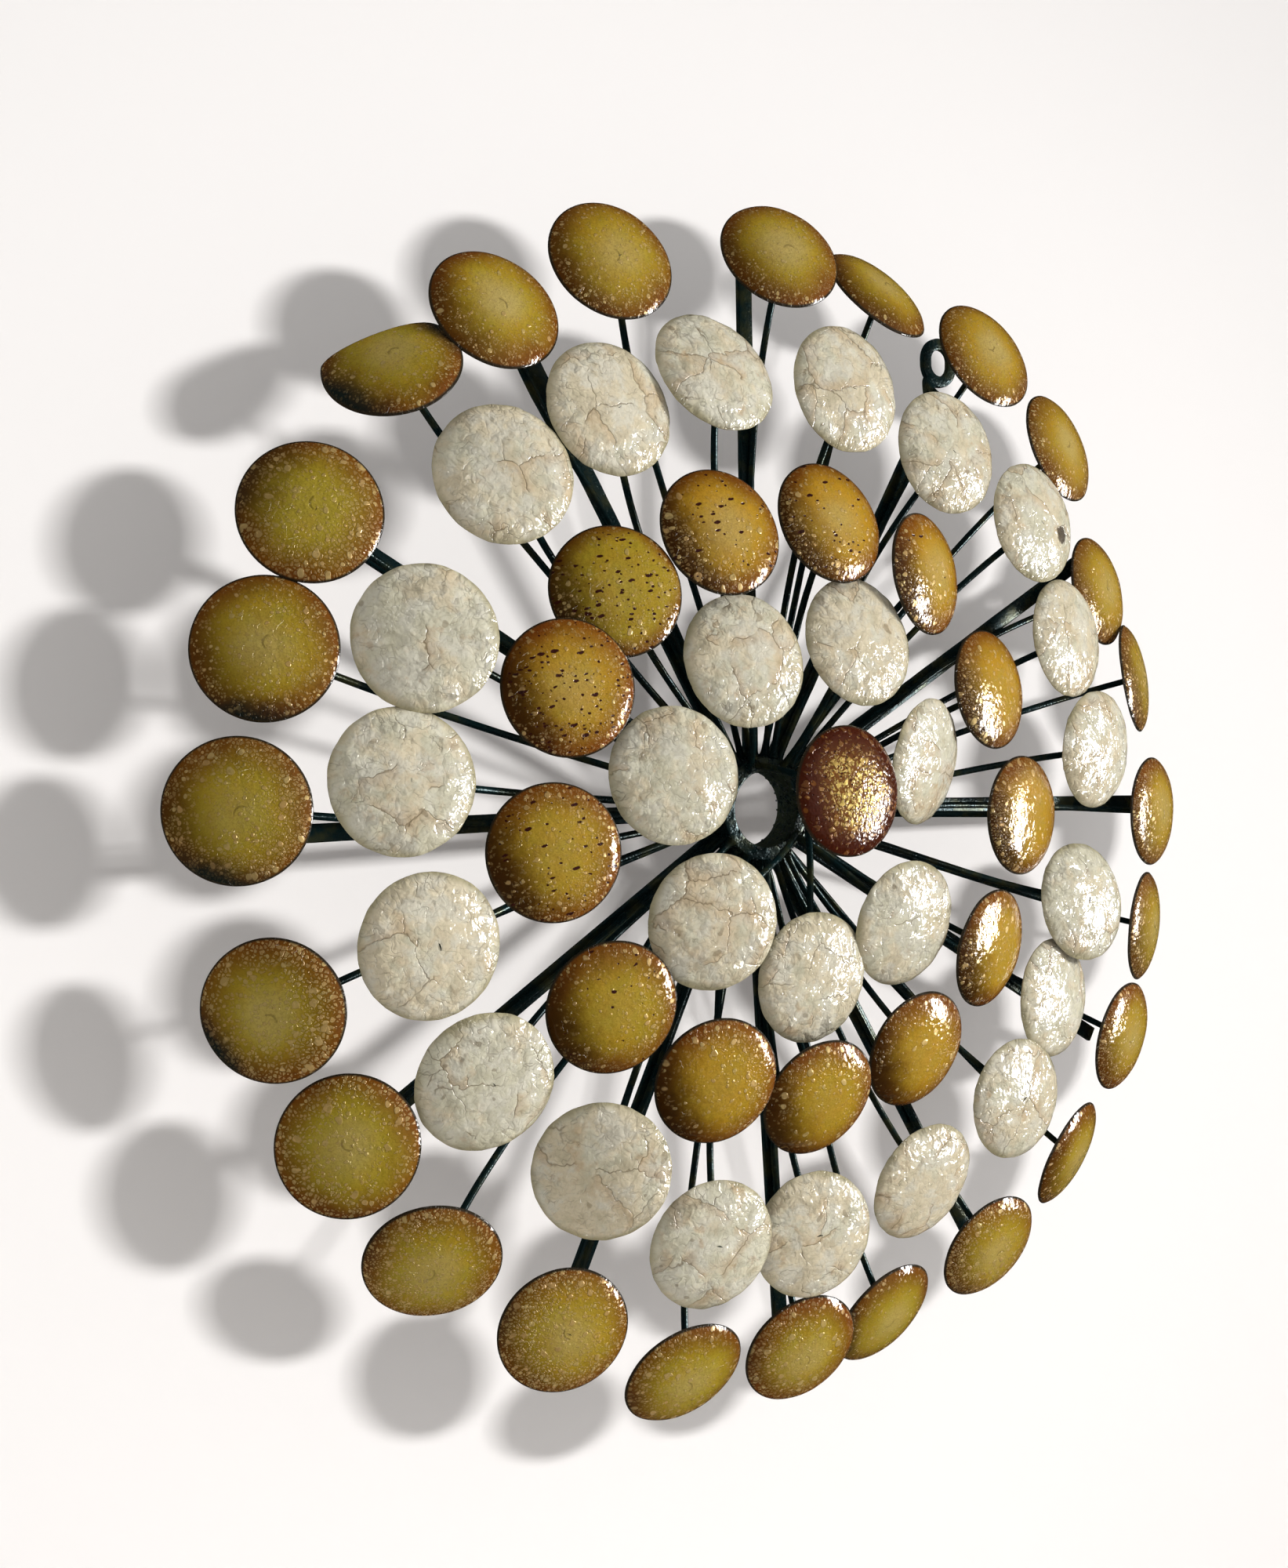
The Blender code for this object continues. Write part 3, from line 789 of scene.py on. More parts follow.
def copper_lacquer(colours):
    """Orange-red lacquer, with gold flakes crowded in the middle and dark gaps between them."""
    nodes = Finish("copper_lacquer", IOR=1.6)
    zone = nodes.use("disc zones", Seed=nodes.of_disc("seed"), Waver=0.45)
    where = zone["Place"]
    shift = where + (0.21, 0.11, 0.07)
    soft = nodes.use("mottle", Place=where, Size=0.010)
    rim = nodes.step(zone["Wavering"], 0.30, 0.90)
    inner = 1.0 - rim
    cover = inner * 0.75 + 0.20
    blots = nodes.use("blotches", Place=shift, Size=0.0085, Cover=0.55, Ragged=0.7)["Mask"]
    gold = nodes.use("flakes", Place=where, Size=0.0046, Cover=cover, Ragged=0.9)["Mask"]
    fine = nodes.use("flakes", Place=shift, Size=0.0026, Cover=cover, Ragged=0.8)["Mask"]
    drops = nodes.use("blotches", Place=shift, Size=0.0050, Cover=0.35, Ragged=0.5)["Mask"]
    pits = nodes.use("blotches", Place=shift + (0.1, 0.3, 0), Size=0.0028,
                     Cover=inner * 0.50 + 0.20, Ragged=0.9)["Mask"]
    leafed = nodes.most(gold, fine * 0.6)
    base = nodes.coats(nodes.mix(rim, colours.copper, colours.maroon_dark),
                       (blots * 0.35, colours.orange),
                       (leafed * (inner * 0.55 + 0.35),
                        nodes.mix(inner, colours.orange, colours.leaf_gold)),
                       (drops * 0.35, colours.flake_pink), (pits * 0.85, colours.dash),
                       (nodes.step(zone["Share"], 0.965, 0.995), colours.edge))
    relief = fine * 0.6 + gold + pits * -1.2 + nodes.noise(shift, 0.0036, 1.0, 0.6) * 1.6
    return nodes.surface(base, leafed * 0.22 + (soft["Grain"] * 0.12 + 0.08), relief, 0.00045,
                         leafed * 0.25 + 0.05)


def pearl_leaf(colours):
    """Lacquered leaf of champagne pearl, patched, creased and lightly stained."""
    nodes = Finish("pearl_leaf", IOR=1.6)
    of_disc, step = nodes.of_disc, nodes.step
    zone = nodes.use("disc zones", Radius=0.04625, Seed=of_disc("seed"), Waver=0.25)
    where, share = zone["Place"], zone["Wavering"]
    shift = where + (0.13, 0.29, 0.0)
    soft = nodes.use("mottle", Place=where, Size=0.016)
    cloud, grain = soft["Cloud"], soft["Grain"]
    patch = nodes.noise(where, 0.026, 3.0, 0.6) + (of_disc("warm") - 0.5) * 0.3
    light = step(cloud, 0.46, 0.62)
    # Tan smears, brown creases with a tan band on one side, and crumpled foil whose grooves are darkened
    # as painted shade
    folds = nodes.use("creases", Place=where, Size=0.040, Width=0.015, Cover=of_disc("creases"))
    fine = nodes.use("creases", Place=shift, Size=0.019, Width=0.022, Cover=0.05)
    smear = step(nodes.noise(where + (0.5, 0, 0.1), 0.014, 3.0, 0.65), 0.58, 0.72) * of_disc("smears")
    crush = nodes.use("crumple", Place=where, Size=0.011)
    spots = nodes.use("blotches", Place=shift, Size=0.010, Cover=0.09, Ragged=1.2)
    # One disc has a hole torn in its leaf
    spot = zone["Flat"] - (0.50, -0.22, 0.0)
    ragged = nodes.noise(where, 0.005, 2.0) * 0.16 + nodes.length(spot)
    torn = step(ragged, 0.25, 0.20) * of_disc("torn")
    # The crumple's grooves take the crease colour: painted shade in the grooves
    base = nodes.coats(nodes.mix(step(patch, 0.42, 0.58), colours.pearl_green, colours.pearl_warm),
                       (light * 0.65, colours.pearl_light),
                       (step(cloud, 0.48, 0.30) * 0.35, colours.pearl_shade),
                       (step(grain, 0.50, 0.72) * 0.20, colours.pearl_shade),
                       (smear * 0.60, colours.tan), (folds["Stain"] * 0.35, colours.tan),
                       (folds["Line"] * 0.6, colours.crease_and_groove_shade), (fine["Line"] * 0.40, colours.crease_and_groove_shade),
                       (crush["Groove"] * 0.35, colours.crease_and_groove_shade), (spots["Mask"] * 0.5, colours.crease_and_groove_shade),
                       (step(share, 0.90, 1.04), colours.pearl_shade), (torn * 0.85, colours.burnt))
    relief = crush["Facets"] * 2.3 + crush["Groove"] * -0.22
    relief = relief * (step(share, 0.3, 0.95) * 0.5 + 0.5)
    relief = relief + folds["Line"] * -0.25 + folds["Step"] * 0.12 + fine["Step"] * 0.05 + torn * -0.5
    return nodes.surface(base, crush["Groove"] * 0.3 + (grain * 0.10 + 0.05), relief, 0.0013,
                         light * 0.08)


def clouded_steel(name, colours, size, tint, rough, depth, spread=None, scuffs=None, **constants):
    """Dark lacquered steel with a second colour in soft clouds, scuffs and a fine grain."""
    nodes = Finish(name, **constants)
    local = nodes.local()
    soft = nodes.use("mottle", Place=local, Size=size)
    cloud = nodes.step(soft["Cloud"], *spread) if spread else soft["Cloud"]
    base = nodes.mix(cloud, colours.steel, tint)
    if scuffs:
        scuff = nodes.use("blotches", Place=local, **scuffs)
        base = nodes.mix(scuff["Mask"] * 0.3, base, colours.scuff)
    return nodes.surface(base, soft["Grain"] * rough[0] + rough[1], soft["Grain"], depth)


def dark_steel(colours):
    """Blue-green black lacquered steel with an olive cast in places."""
    return clouded_steel("dark_steel", colours, 0.02, colours.steel_olive, (0.25, 0.08), 0.0003,
                         (0.45, 0.7), dict(Size=0.004, Cover=0.10, Ragged=0.9), Metallic=0.45, IOR=1.5)


def sooty_steel(colours):
    """The bore of the collar: dull and black from the welding."""
    return clouded_steel("sooty_steel", colours, 0.006, colours.steel_olive, (0.3, 0.40), 0.0006,
                         IOR=1.15)


def weld_metal(colours):
    """Rough weld beads and spatter under the same dark lacquer."""
    return clouded_steel("weld_metal", colours, 0.006, colours.scuff, (0.3, 0.18), 0.0004,
                         (0.4, 0.7), Metallic=0.35, IOR=1.6)


def disc_back(colours):
    """The hollow backs: brown-black lacquer, duller than the fronts."""
    return clouded_steel("disc_back", colours, 0.018, colours.brown, (0.3, 0.35), 0.0002,
                         (0.35, 0.7), dict(Size=0.003, Cover=0.15, Ragged=0.6), Metallic=0.2)


GROUPS = (make_blotches, make_flakes, make_disc_zones, make_mottle, make_creases, make_crumple)
FINISHES = {make.__name__: make for make in (gold_lacquer, copper_lacquer, pearl_leaf, dark_steel,
                                             sooty_steel, weld_metal, disc_back)}


def finish(name):
    """A finish by name, made the first time it is asked for."""
    found = bpy.data.materials.get(name)
    if found and found.get("made_here"):
        return found
    if "blotches" not in bpy.data.node_groups:
        for make in GROUPS:
            make()
    if found:
        found.name = "solid_" + name
    made = FINISHES[name](bpy.context.scene.sculpture_colours)
    made["made_here"] = True
    return made


# ---------------------------------------------------------------------------------------------
# Discs
# ---------------------------------------------------------------------------------------------

def disc_pose(middle, facing, roll):
    """Local z is the facing and local y as near to upright as it can be, turned by roll."""
    right = UP.cross(facing).normalized()
    above = facing.cross(right)
    pose = Matrix((right, above, facing)).transposed().to_4x4()
    return Matrix.Translation(middle) @ pose @ Matrix.Rotation(roll, 4, "Z")


def smooth_relief(point, share, seed):
    return ripple(point, 0.022, seed) * 0.00035


def nicked_relief(point, share, seed):
    """Slow unevenness of a pressed disc, and the nick where the rod was welded behind it."""
    nick = (point - Vector((-0.0015, -0.001, 0))).length
    hollow = -0.00055 * math.exp(-(nick / 0.0013) ** 2)
    swell = 0.00025 * math.exp(-((nick - 0.0032) / 0.0016) ** 2)
    return smooth_relief(point, share, seed) + hollow + swell


def pearl_relief(point, share, seed):
    """Crumpled leaf: broad dents, with sharp folds that grow towards the rim."""
    broad = ripple(point, 0.016, seed) * 0.0005
    crush = 1 - abs(ripple(point, 0.009, seed + 5)) * 2.2
    fold = 1 - abs(ripple(point, 0.005, seed + 9)) * 2.2
    return broad + (crush * 0.00035 + fold * 0.0002) * (0.35 + 0.65 * share ** 3)


def rim_noise(turn, often, seed):
    return noise.noise(Vector((math.cos(turn) * often, math.sin(turn) * often, seed)))


def gold_outline(turn, seed):
    return 1 + 0.004 * rim_noise(turn, 1.2, seed)


def pearl_outline(turn, seed):
    """Slightly polygonal, from leaf folded over the rim."""
    return 1 + 0.006 * rim_noise(turn, 1.3, seed) + 0.010 * rim_noise(turn, 5, seed + 3)


def bent_back(corner, radius, roll):
    """A point of a disc whose upper left side was bent back along a straight line."""
    turn = math.radians(FLAT_SIDE) - roll
    across = Vector((math.cos(turn), math.sin(turn), 0))
    beyond = corner.dot(across) - FLAT_FROM * radius
    if beyond <= 0:
        return corner
    bend = min(beyond / FLAT_CURVE, FLAT_TURN)
    straight = beyond - bend * FLAT_CURVE
    forward = FLAT_CURVE * math.sin(bend) + straight * math.cos(FLAT_TURN)
    back = FLAT_CURVE * (1 - math.cos(bend)) + straight * math.sin(FLAT_TURN)
    return corner + across * (forward - beyond) - OUT * back


# Finish, slot, relief and outline of each kind of disc
NICKED_GOLD = ("gold_lacquer", "gold_patina", nicked_relief, gold_outline)
SMOOTH_GOLD = ("gold_lacquer", "gold_patina", smooth_relief, gold_outline)
COPPER = ("copper_lacquer", "copper_patina", smooth_relief, gold_outline)
PEARL = ("pearl_leaf", "pearl_leaf", pearl_relief, pearl_outline)


def dish(name, node, found, kind, settings, values, roll=0.0):
    """One domed disc: its front, the rolled and rounded rim, and the hollow back."""
    finish_name, slot, relief, outline = kind
    radius = (settings.pearl_diameter if kind is PEARL else settings.gold_diameter) / 2
    seed = random.Random(name).uniform(0, 40)
    segments = settings.segments
    front = [math.sin(math.pi / 2 * (i / settings.rows) ** FRONT_CROWDED)
             for i in range(1, settings.rows + 1)]
    profile = [(radius * share, dome_height(share), share) for share in front]
    rounding = SHEET / 2
    for turn in (math.pi / 3, math.pi * 2 / 3, math.pi):
        profile.append((radius + rounding * math.sin(turn) * 0.6,
                        -rounding + rounding * math.cos(turn), 1.0))
    for share in BACK_RINGS:
        profile.append((radius * share - BACK_INSET, dome_height(share) - SHEET, share))
    rings = []
    for reach, height, share in profile:
        ring = []
        for j in range(segments):
            turn = math.tau * j / segments
            way = Vector((math.cos(turn), math.sin(turn), 0))
            flat = way * reach * (1 + (outline(turn, seed) - 1) * share ** 6)
            corner = flat + OUT * (height + relief(flat, share, seed))
            ring.append(bent_back(corner, radius, roll) if values.get("flat") else corner)
        rings.append(ring)
    shape = Shape()
    shape.rings(rings)
    shape.faces = [face[::-1] for face in shape.faces]
    crest = len(shape.corners)
    innermost = crest - segments
    shape.corners.append(OUT * (dome_height(0) + relief(Vector(), 0, seed)))
    shape.faces += [(crest, j, (j + 1) % segments) for j in range(segments)]
    shape.faces.append(tuple(innermost + j for j in reversed(range(segments))))
    behind = {*range((len(front) + 1) * segments, innermost), crest}
    piece = shape.dress(name, node, slot, (finish_name, "disc_back"), sharp=60, second=behind,
                        pose=FACE @ disc_pose(*found, roll))
    piece["seed"] = seed
    for key, value in values.items():
        piece[key] = float(value)


def gold_values(node, roll=0.0):
    """The look of a gold disc; its clock angles become directions in the disc's own plane."""
    values = {**GOLD_DEFAULTS, **GOLD_FINISH[node]}
    for key in ("side", "drops", "burnt_side"):
        turn = math.radians(90 - values.pop(key)) - roll
        values[key + "_x"] = math.cos(turn)
        values[key + "_y"] = math.sin(turn)
    return values


def pearl_values(node, name):
    chance = random.Random(name + "leaf")
    return {"warm": chance.uniform(0.25, 0.8), "creases": chance.uniform(0.35, 0.75),
            "smears": chance.uniform(0.2, 0.8), "torn": node == TORN_DISC}


# ---------------------------------------------------------------------------------------------
# Sizes and colours
# ---------------------------------------------------------------------------------------------

def metres(label, text, value, least=0.0):
    return FloatProperty(name=label, description=text, default=value, unit="LENGTH", min=least)


def whole(label, text, value, least):
    return IntProperty(name=label, description=text, default=value, min=least)


def power(label, text, value):
    return FloatProperty(name=label, description=text, default=value, min=0)


def colour(label, text, value):
    return FloatVectorProperty(name=label, description=text, default=value, subtype="COLOR",
                               size=3, min=0, max=1)


class DiscSettings(bpy.types.PropertyGroup):
    gold_diameter: metres("Gold disc", "Diameter of the gold discs", 0.090, 0.02)
    pearl_diameter: metres("Pearl disc", "Diameter of the pearl discs", 0.0925, 0.02)
    rows: whole("Rows", "Rows of faces from the middle of a disc to its rim", 30, 6)
    segments: whole("Segments", "Faces round a disc", 112, 16)


class SteelSettings(bpy.types.PropertyGroup):
    rod_diameter: metres("Rod", "Diameter of the round rods", 0.005, 0.001)
    rod_sides: whole("Rod sides", "Faces round a rod", 14, 6)
    rod_points: whole("Rod points", "Points along a rod", 48, 8)
    bow: metres("Bow", "Most that a rod bows to one side", 0.0012)
    bar_width: metres("Bar width", "Width of the flat bars", 0.012)
    bar_thickness: metres("Bar thickness", "Thickness of the flat bars", 0.0045)
    edge_radius: metres("Edge radius", "Rounding of the bars' edges", 0.0009)


class ColourSettings(bpy.types.PropertyGroup):
    olive: colour("Olive", "Middle of the greener gold discs", (0.44, 0.33, 0.026))
    amber: colour("Amber", "Middle of the browner gold discs", (0.56, 0.30, 0.020))
    # Painted sheen: the greyer middle stands in for the room mirrored in the lacquer
    painted_sheen_middle: colour("Heart", "Greyer middle of the gold discs", (0.60, 0.46, 0.16))
    brown: colour("Brown", "Rim of most gold discs", (0.19, 0.070, 0.008))
    maroon: colour("Maroon", "Rim of the redder gold discs", (0.22, 0.058, 0.006))
    grain: colour("Grain", "What the fine grain multiplies the gold by", (0.55, 0.50, 0.40))
    # Painted shade on one side of the gold discs; the same dark brown colours the nick and the torn hole
    burnt: colour("Burnt", "Side of a gold disc that was held in the flame", (0.040, 0.015, 0.002))
    # Smudge on the gold rims: partly soot, partly painted shade
    soot_and_shade_smudge: colour("Smudge", "Blue-black smudges on gold rims", (0.010, 0.016, 0.013))
    flake: colour("Flake", "Pale flakes in the gold lacquer", (0.80, 0.58, 0.22))
    flake_pink: colour("Pink flake", "Pinker flakes in the gold lacquer", (0.72, 0.44, 0.16))
    dash: colour("Dash", "Dark runs and pits", (0.045, 0.008, 0.004))
    edge: colour("Cut edge", "Cut edge of the discs", (0.03, 0.022, 0.012))
    copper: colour("Copper", "Middle of the copper-red disc", (0.21, 0.075, 0.010))
    maroon_dark: colour("Dark maroon", "Rim of the copper-red disc", (0.070, 0.012, 0.003))
    orange: colour("Orange", "Translucent blots on the copper-red disc", (0.46, 0.17, 0.025))
    leaf_gold: colour("Leaf gold", "Bright flakes of the copper-red disc", (0.84, 0.60, 0.13))
    pearl_green: colour("Pearl green", "Cooler patches of the pearl discs", (0.75, 0.71, 0.54))
    pearl_warm: colour("Pearl beige", "Warmer patches of the pearl discs", (0.79, 0.69, 0.49))
    pearl_light: colour("Pearl light", "Lightest patches of the pearl discs", (0.88, 0.84, 0.70))
    pearl_shade: colour("Pearl shade", "Fibres and rims of the pearl discs", (0.46, 0.41, 0.25))
    tan: colour("Tan", "Smears on the pearl discs", (0.56, 0.34, 0.15))
    # Also darkens the crumple's grooves as painted shade
    crease_and_groove_shade: colour("Crease", "Crease lines and spots on the pearl discs", (0.24, 0.17, 0.09))
    steel: colour("Steel", "Rods, bars and collar", (0.006, 0.026, 0.028))
    steel_olive: colour("Olive cast", "Olive cast on the steel", (0.050, 0.056, 0.022))
    scuff: colour("Scuff", "Scuffed steel and weld metal", (0.10, 0.11, 0.10))


class StageSettings(bpy.types.PropertyGroup):
    lamp_power: power("Side lamp", "Power of the lamp at the right, which lights the work", 8.0)
    shadow_power: power("Shadow lamp", "Power of the lamp that throws the backdrop's shadows", 6.7)
    window_power: power("Window", "Power of the window that shows in the lacquer", 80)
    surround: power("Surround", "Brightness of the even light from all sides", 0.52)
    focal_length: FloatProperty(
        name="Focal length", description="Of the camera, for the longer side of the picture",
        default=40.0, unit="CAMERA")


# ---------------------------------------------------------------------------------------------
# Operators
# ---------------------------------------------------------------------------------------------

def gold_disc(node, kind, settings, roll=0.0):
    found = find_discs(node, settings.gold_diameter)[0]
    dish(node + "_disc", node, found, kind, settings, gold_values(node, roll), roll)


class SCULPTURE_OT_outer_discs(bpy.types.Operator):
    """Make the gold discs of the outer ring"""
    bl_idname = "sculpture.outer_discs"
    bl_label = "Outer gold discs"

    def execute(self, context):
        for node in nodes_called("arm_") + nodes_called("outer_stalk_"):
            roll = random.Random(node + "roll").uniform(0, math.tau)
            gold_disc(node, NICKED_GOLD, context.scene.sculpture_discs, roll)
        return {"FINISHED"}


class SCULPTURE_OT_middle_discs(bpy.types.Operator):
    """Make the ring of thirteen gold discs"""
    bl_idname = "sculpture.middle_discs"
    bl_label = "Middle gold discs"

    def execute(self, context):
        for node in nodes_called("gold_stalk_"):
            gold_disc(node, SMOOTH_GOLD, context.scene.sculpture_discs)
        return {"FINISHED"}


class SCULPTURE_OT_pearl_discs(bpy.types.Operator):
    """Make the nineteen pearl discs and the seven round the collar"""
    bl_idname = "sculpture.pearl_discs"
    bl_label = "Pearl discs"

    def execute(self, context):
        settings = context.scene.sculpture_discs
        pieces = [(node + "_disc", node, find_discs(node, settings.pearl_diameter)[0])
                  for node in nodes_called("pearl_stalk_")]
        for k, found in enumerate(hub_discs(settings.pearl_diameter)):
            pieces.append(("inner_disc_%02d" % (k + 1), HUB_NODE, found))
        for name, node, found in pieces:
            dish(name, node, found, PEARL, settings, pearl_values(node, name))
        return {"FINISHED"}


class SCULPTURE_OT_copper_disc(bpy.types.Operator):
    """Make the one copper-red disc"""
    bl_idname = "sculpture.copper_disc"
    bl_label = "Copper-red disc"

    def execute(self, context):
        settings = context.scene.sculpture_discs
        dish("copper_disc", HUB_NODE, hub_discs(settings.gold_diameter)[0], COPPER, settings, {})
        return {"FINISHED"}


def stalk_rod(name, node, start, leaving, found, settings):
    """A rod from the collar to the back of a disc, with weld beads at its foot."""
    chance = random.Random(name)
    seed = chance.uniform(0, 40)
    points = sweep(start - leaving * GAP, leaving, *rod_end(start, *found), settings.rod_points,
                   ROD_CROWDED)
    bow = leaving.cross(OUT) if abs(leaving.z) < 0.9 else UP
    lean = chance.uniform(-1, 1) * settings.bow
    for i, point in enumerate(points):
        points[i] = point + bow * lean * math.sin(math.pi * i / (len(points) - 1))
    shape = Shape()
    shape.rod(points, settings.rod_diameter / 2, settings.rod_sides, seed)
    for k in range(BEADS["stalk"]):
        turn = Matrix.Rotation(chance.uniform(0, math.tau), 3, leaving)
        beside = turn @ leaving.orthogonal().normalized()
        shape.blob(start + beside * settings.rod_diameter * 0.5, chance.uniform(0.0010, 0.0018), 0.8,
                   leaving, seed + k)
    shape.dress(name, node)


class SCULPTURE_OT_stalk_rods(bpy.types.Operator):
    """Make the rods that run from the collar straight to a disc"""
    bl_idname = "sculpture.stalk_rods"
    bl_label = "Rods"

    def execute(self, context):
        gold = context.scene.sculpture_discs.gold_diameter
        pearl = context.scene.sculpture_discs.pearl_diameter
        settings = context.scene.sculpture_steel
        for ring, diameter in (("outer_stalk_", gold), ("pearl_stalk_", pearl), ("gold_stalk_", gold)):
            for node in nodes_called(ring):
                start = find_foot(node)
                stalk_rod(node + "_rod", node, start, radial(clock_of(start)),
                          find_discs(node, diameter)[0], settings)
        ends = list(zip(INNER_FEET, hub_discs(pearl))) + [(CENTRE_FOOT, hub_discs(gold)[0])]
        for k, (clock, found) in enumerate(ends):
            start = place(clock, COLLAR_CENTRE, INNER_FOOT_HEIGHT)
            end = rod_end(start, *found)[0]
            leaving = ((end - start).normalized() + OUT * 0.35).normalized()
            stalk_rod("inner_rod_%02d" % (k + 1), HUB_NODE, start, leaving, found, settings)
        return {"FINISHED"}


class SCULPTURE_OT_arms(bpy.types.Operator):
    """Make the twelve flat bars and the rods welded along them"""
    bl_idname = "sculpture.arms"
    bl_label = "Flat bars and their rods"

    def execute(self, context):
        settings = context.scene.sculpture_steel
        width, thickness, rod = settings.bar_width, settings.bar_thickness, settings.rod_diameter
        section = rounded_section(width, thickness, settings.edge_radius)
        for node in nodes_called("arm_"):
            chance = random.Random(node)
            seed = chance.uniform(0, 40)
            foot = find_foot(node)
            clock = clock_of(foot)
            first = foot.xy.length
            last = bar_end(node, clock, width, thickness)
            bar = Shape()
            bar.bar([place(clock, first + (last - first) * i / BAR_STEPS, BAR_HEIGHT)
                     for i in range(BAR_STEPS + 1)], section, 0.0003, seed)
            for side in (-1, 1):
                for k in range(BEADS["bar"]):
                    spot = place(clock, first + 0.0005, BAR_HEIGHT + chance.uniform(-0.0015, 0.0025))
                    spot += radial(clock + 90) * side * chance.uniform(0.001, 0.0065)
                    bar.blob(spot, chance.uniform(0.0013, 0.0022), 1, radial(clock), seed + k)
            bar.dress(node + "_bar", node)

            found = find_discs(node, context.scene.sculpture_discs.gold_diameter)[0]
            height = BAR_HEIGHT + thickness / 2 + rod / 2 - WELD
            start = place(clock, first + WELD, height)
            lift_off = place(clock, first + (last - first) * LIFT_OFF, height)
            points = [start.lerp(lift_off, i / LYING_STEPS) for i in range(LYING_STEPS)]
            points += sweep(lift_off, radial(clock), *rod_end(lift_off, *found), LIFTED_POINTS)
            lifted = Shape()
            lifted.rod(points, rod / 2, settings.rod_sides, seed)
            for k in range(BEADS["lap"]):
                spot = start.lerp(lift_off, chance.uniform(0.08, 1.0)) - OUT * rod * 0.35
                for side in (-1, 1):
                    bead = spot + radial(clock + 90) * side * rod * 0.42
                    size = chance.uniform(0.0011, 0.0016)
                    lifted.blob(bead, size, chance.uniform(2, 5), radial(clock), seed + k, detail=2)
            lifted.dress(node + "_rod", node)
        return {"FINISHED"}


class SCULPTURE_OT_collar(bpy.types.Operator):
    """Make the collar, the weld beads round it and the spatter on its face"""
    bl_idname = "sculpture.collar"
    bl_label = "Collar and welds"

    def execute(self, context):
        half = COLLAR_DEPTH / 2
        wall = (COLLAR_OUTSIDE - COLLAR_BORE) / 4
        section = rounded_section(2 * wall, 2 * half, COLLAR_EDGE, 4)
        dense = []
        for (ax, ay), (bx, by) in zip(section, section[1:] + section[:1]):
            steps = max(1, int(math.hypot(bx - ax, by - ay) / COLLAR_EDGE))
            dense += [(ax + (bx - ax) * i / steps, ay + (by - ay) * i / steps) for i in range(steps)]
        rings = []
        for i in range(COLLAR_SEGMENTS):
            clock = 360 * i / COLLAR_SEGMENTS
            ring = []
            for right, high in dense:
                corner = place(clock, COLLAR_CENTRE + right, high)
                lump = ripple(corner, 0.0045, 3) * 0.0004 + ripple(corner, 0.0016, 7) * 0.00022
                if abs(high) > half - COLLAR_EDGE:
                    grow = OUT if high > 0 else -OUT
                else:
                    grow = radial(clock) if right > 0 else -radial(clock)
                ring.append(corner + grow * lump)
            rings.append(ring)
        collar = Shape()
        collar.rings(rings + rings[:1])
        in_bore = {k for k in range(len(collar.faces))
                   if dense[k % len(dense)][0] < COLLAR_EDGE - wall}
        collar.dress("collar", HUB_NODE, finishes=("dark_steel", "sooty_steel"), sharp=60,
                     second=in_bore)

        chance = random.Random("spatter")
        welds = Shape()
        for k in range(SPATTER["face"]):
            heavy = chance.random() < 0.75
            clock = chance.gauss(120, 38) if heavy else chance.uniform(0, 360)
            reach = chance.uniform(COLLAR_BORE / 2 + 0.0008, COLLAR_OUTSIDE / 2 - 0.0003)
            size = chance.uniform(0.0004, 0.0011)
            welds.blob(place(clock, reach, half + size * 0.2), size, 0.7, OUT, k)
        for k in range(SPATTER["outside"]):
            clock = chance.uniform(0, 360)
            size = chance.uniform(0.0006, 0.0013)
            spot = place(clock, COLLAR_OUTSIDE / 2, chance.uniform(-half, half))
            welds.blob(spot, size, 0.7, radial(clock), k + 300)
        for k in range(SPATTER["bore"]):
            clock = chance.gauss(90, 50)
            size = chance.uniform(0.0005, 0.0012)
            spot = place(clock, COLLAR_BORE / 2, chance.uniform(-half, half))
            welds.blob(spot, size, 0.7, radial(clock), k + 600)
        for k, clock in enumerate(INNER_FEET + [CENTRE_FOOT]):
            foot = place(clock, COLLAR_CENTRE, INNER_FOOT_HEIGHT + 0.0015)
            for i in range(BEADS["inner"]):
                turn = math.tau * i / BEADS["inner"] + chance.uniform(-0.2, 0.2)
                spot = foot + Vector((math.cos(turn), math.sin(turn), 0)) * 0.003
                welds.blob(spot, chance.uniform(0.0011, 0.0017), 1, OUT, k * 9 + i)
        welds.dress("collar_welds", HUB_NODE, finishes=("weld_metal",))
        return {"FINISHED"}


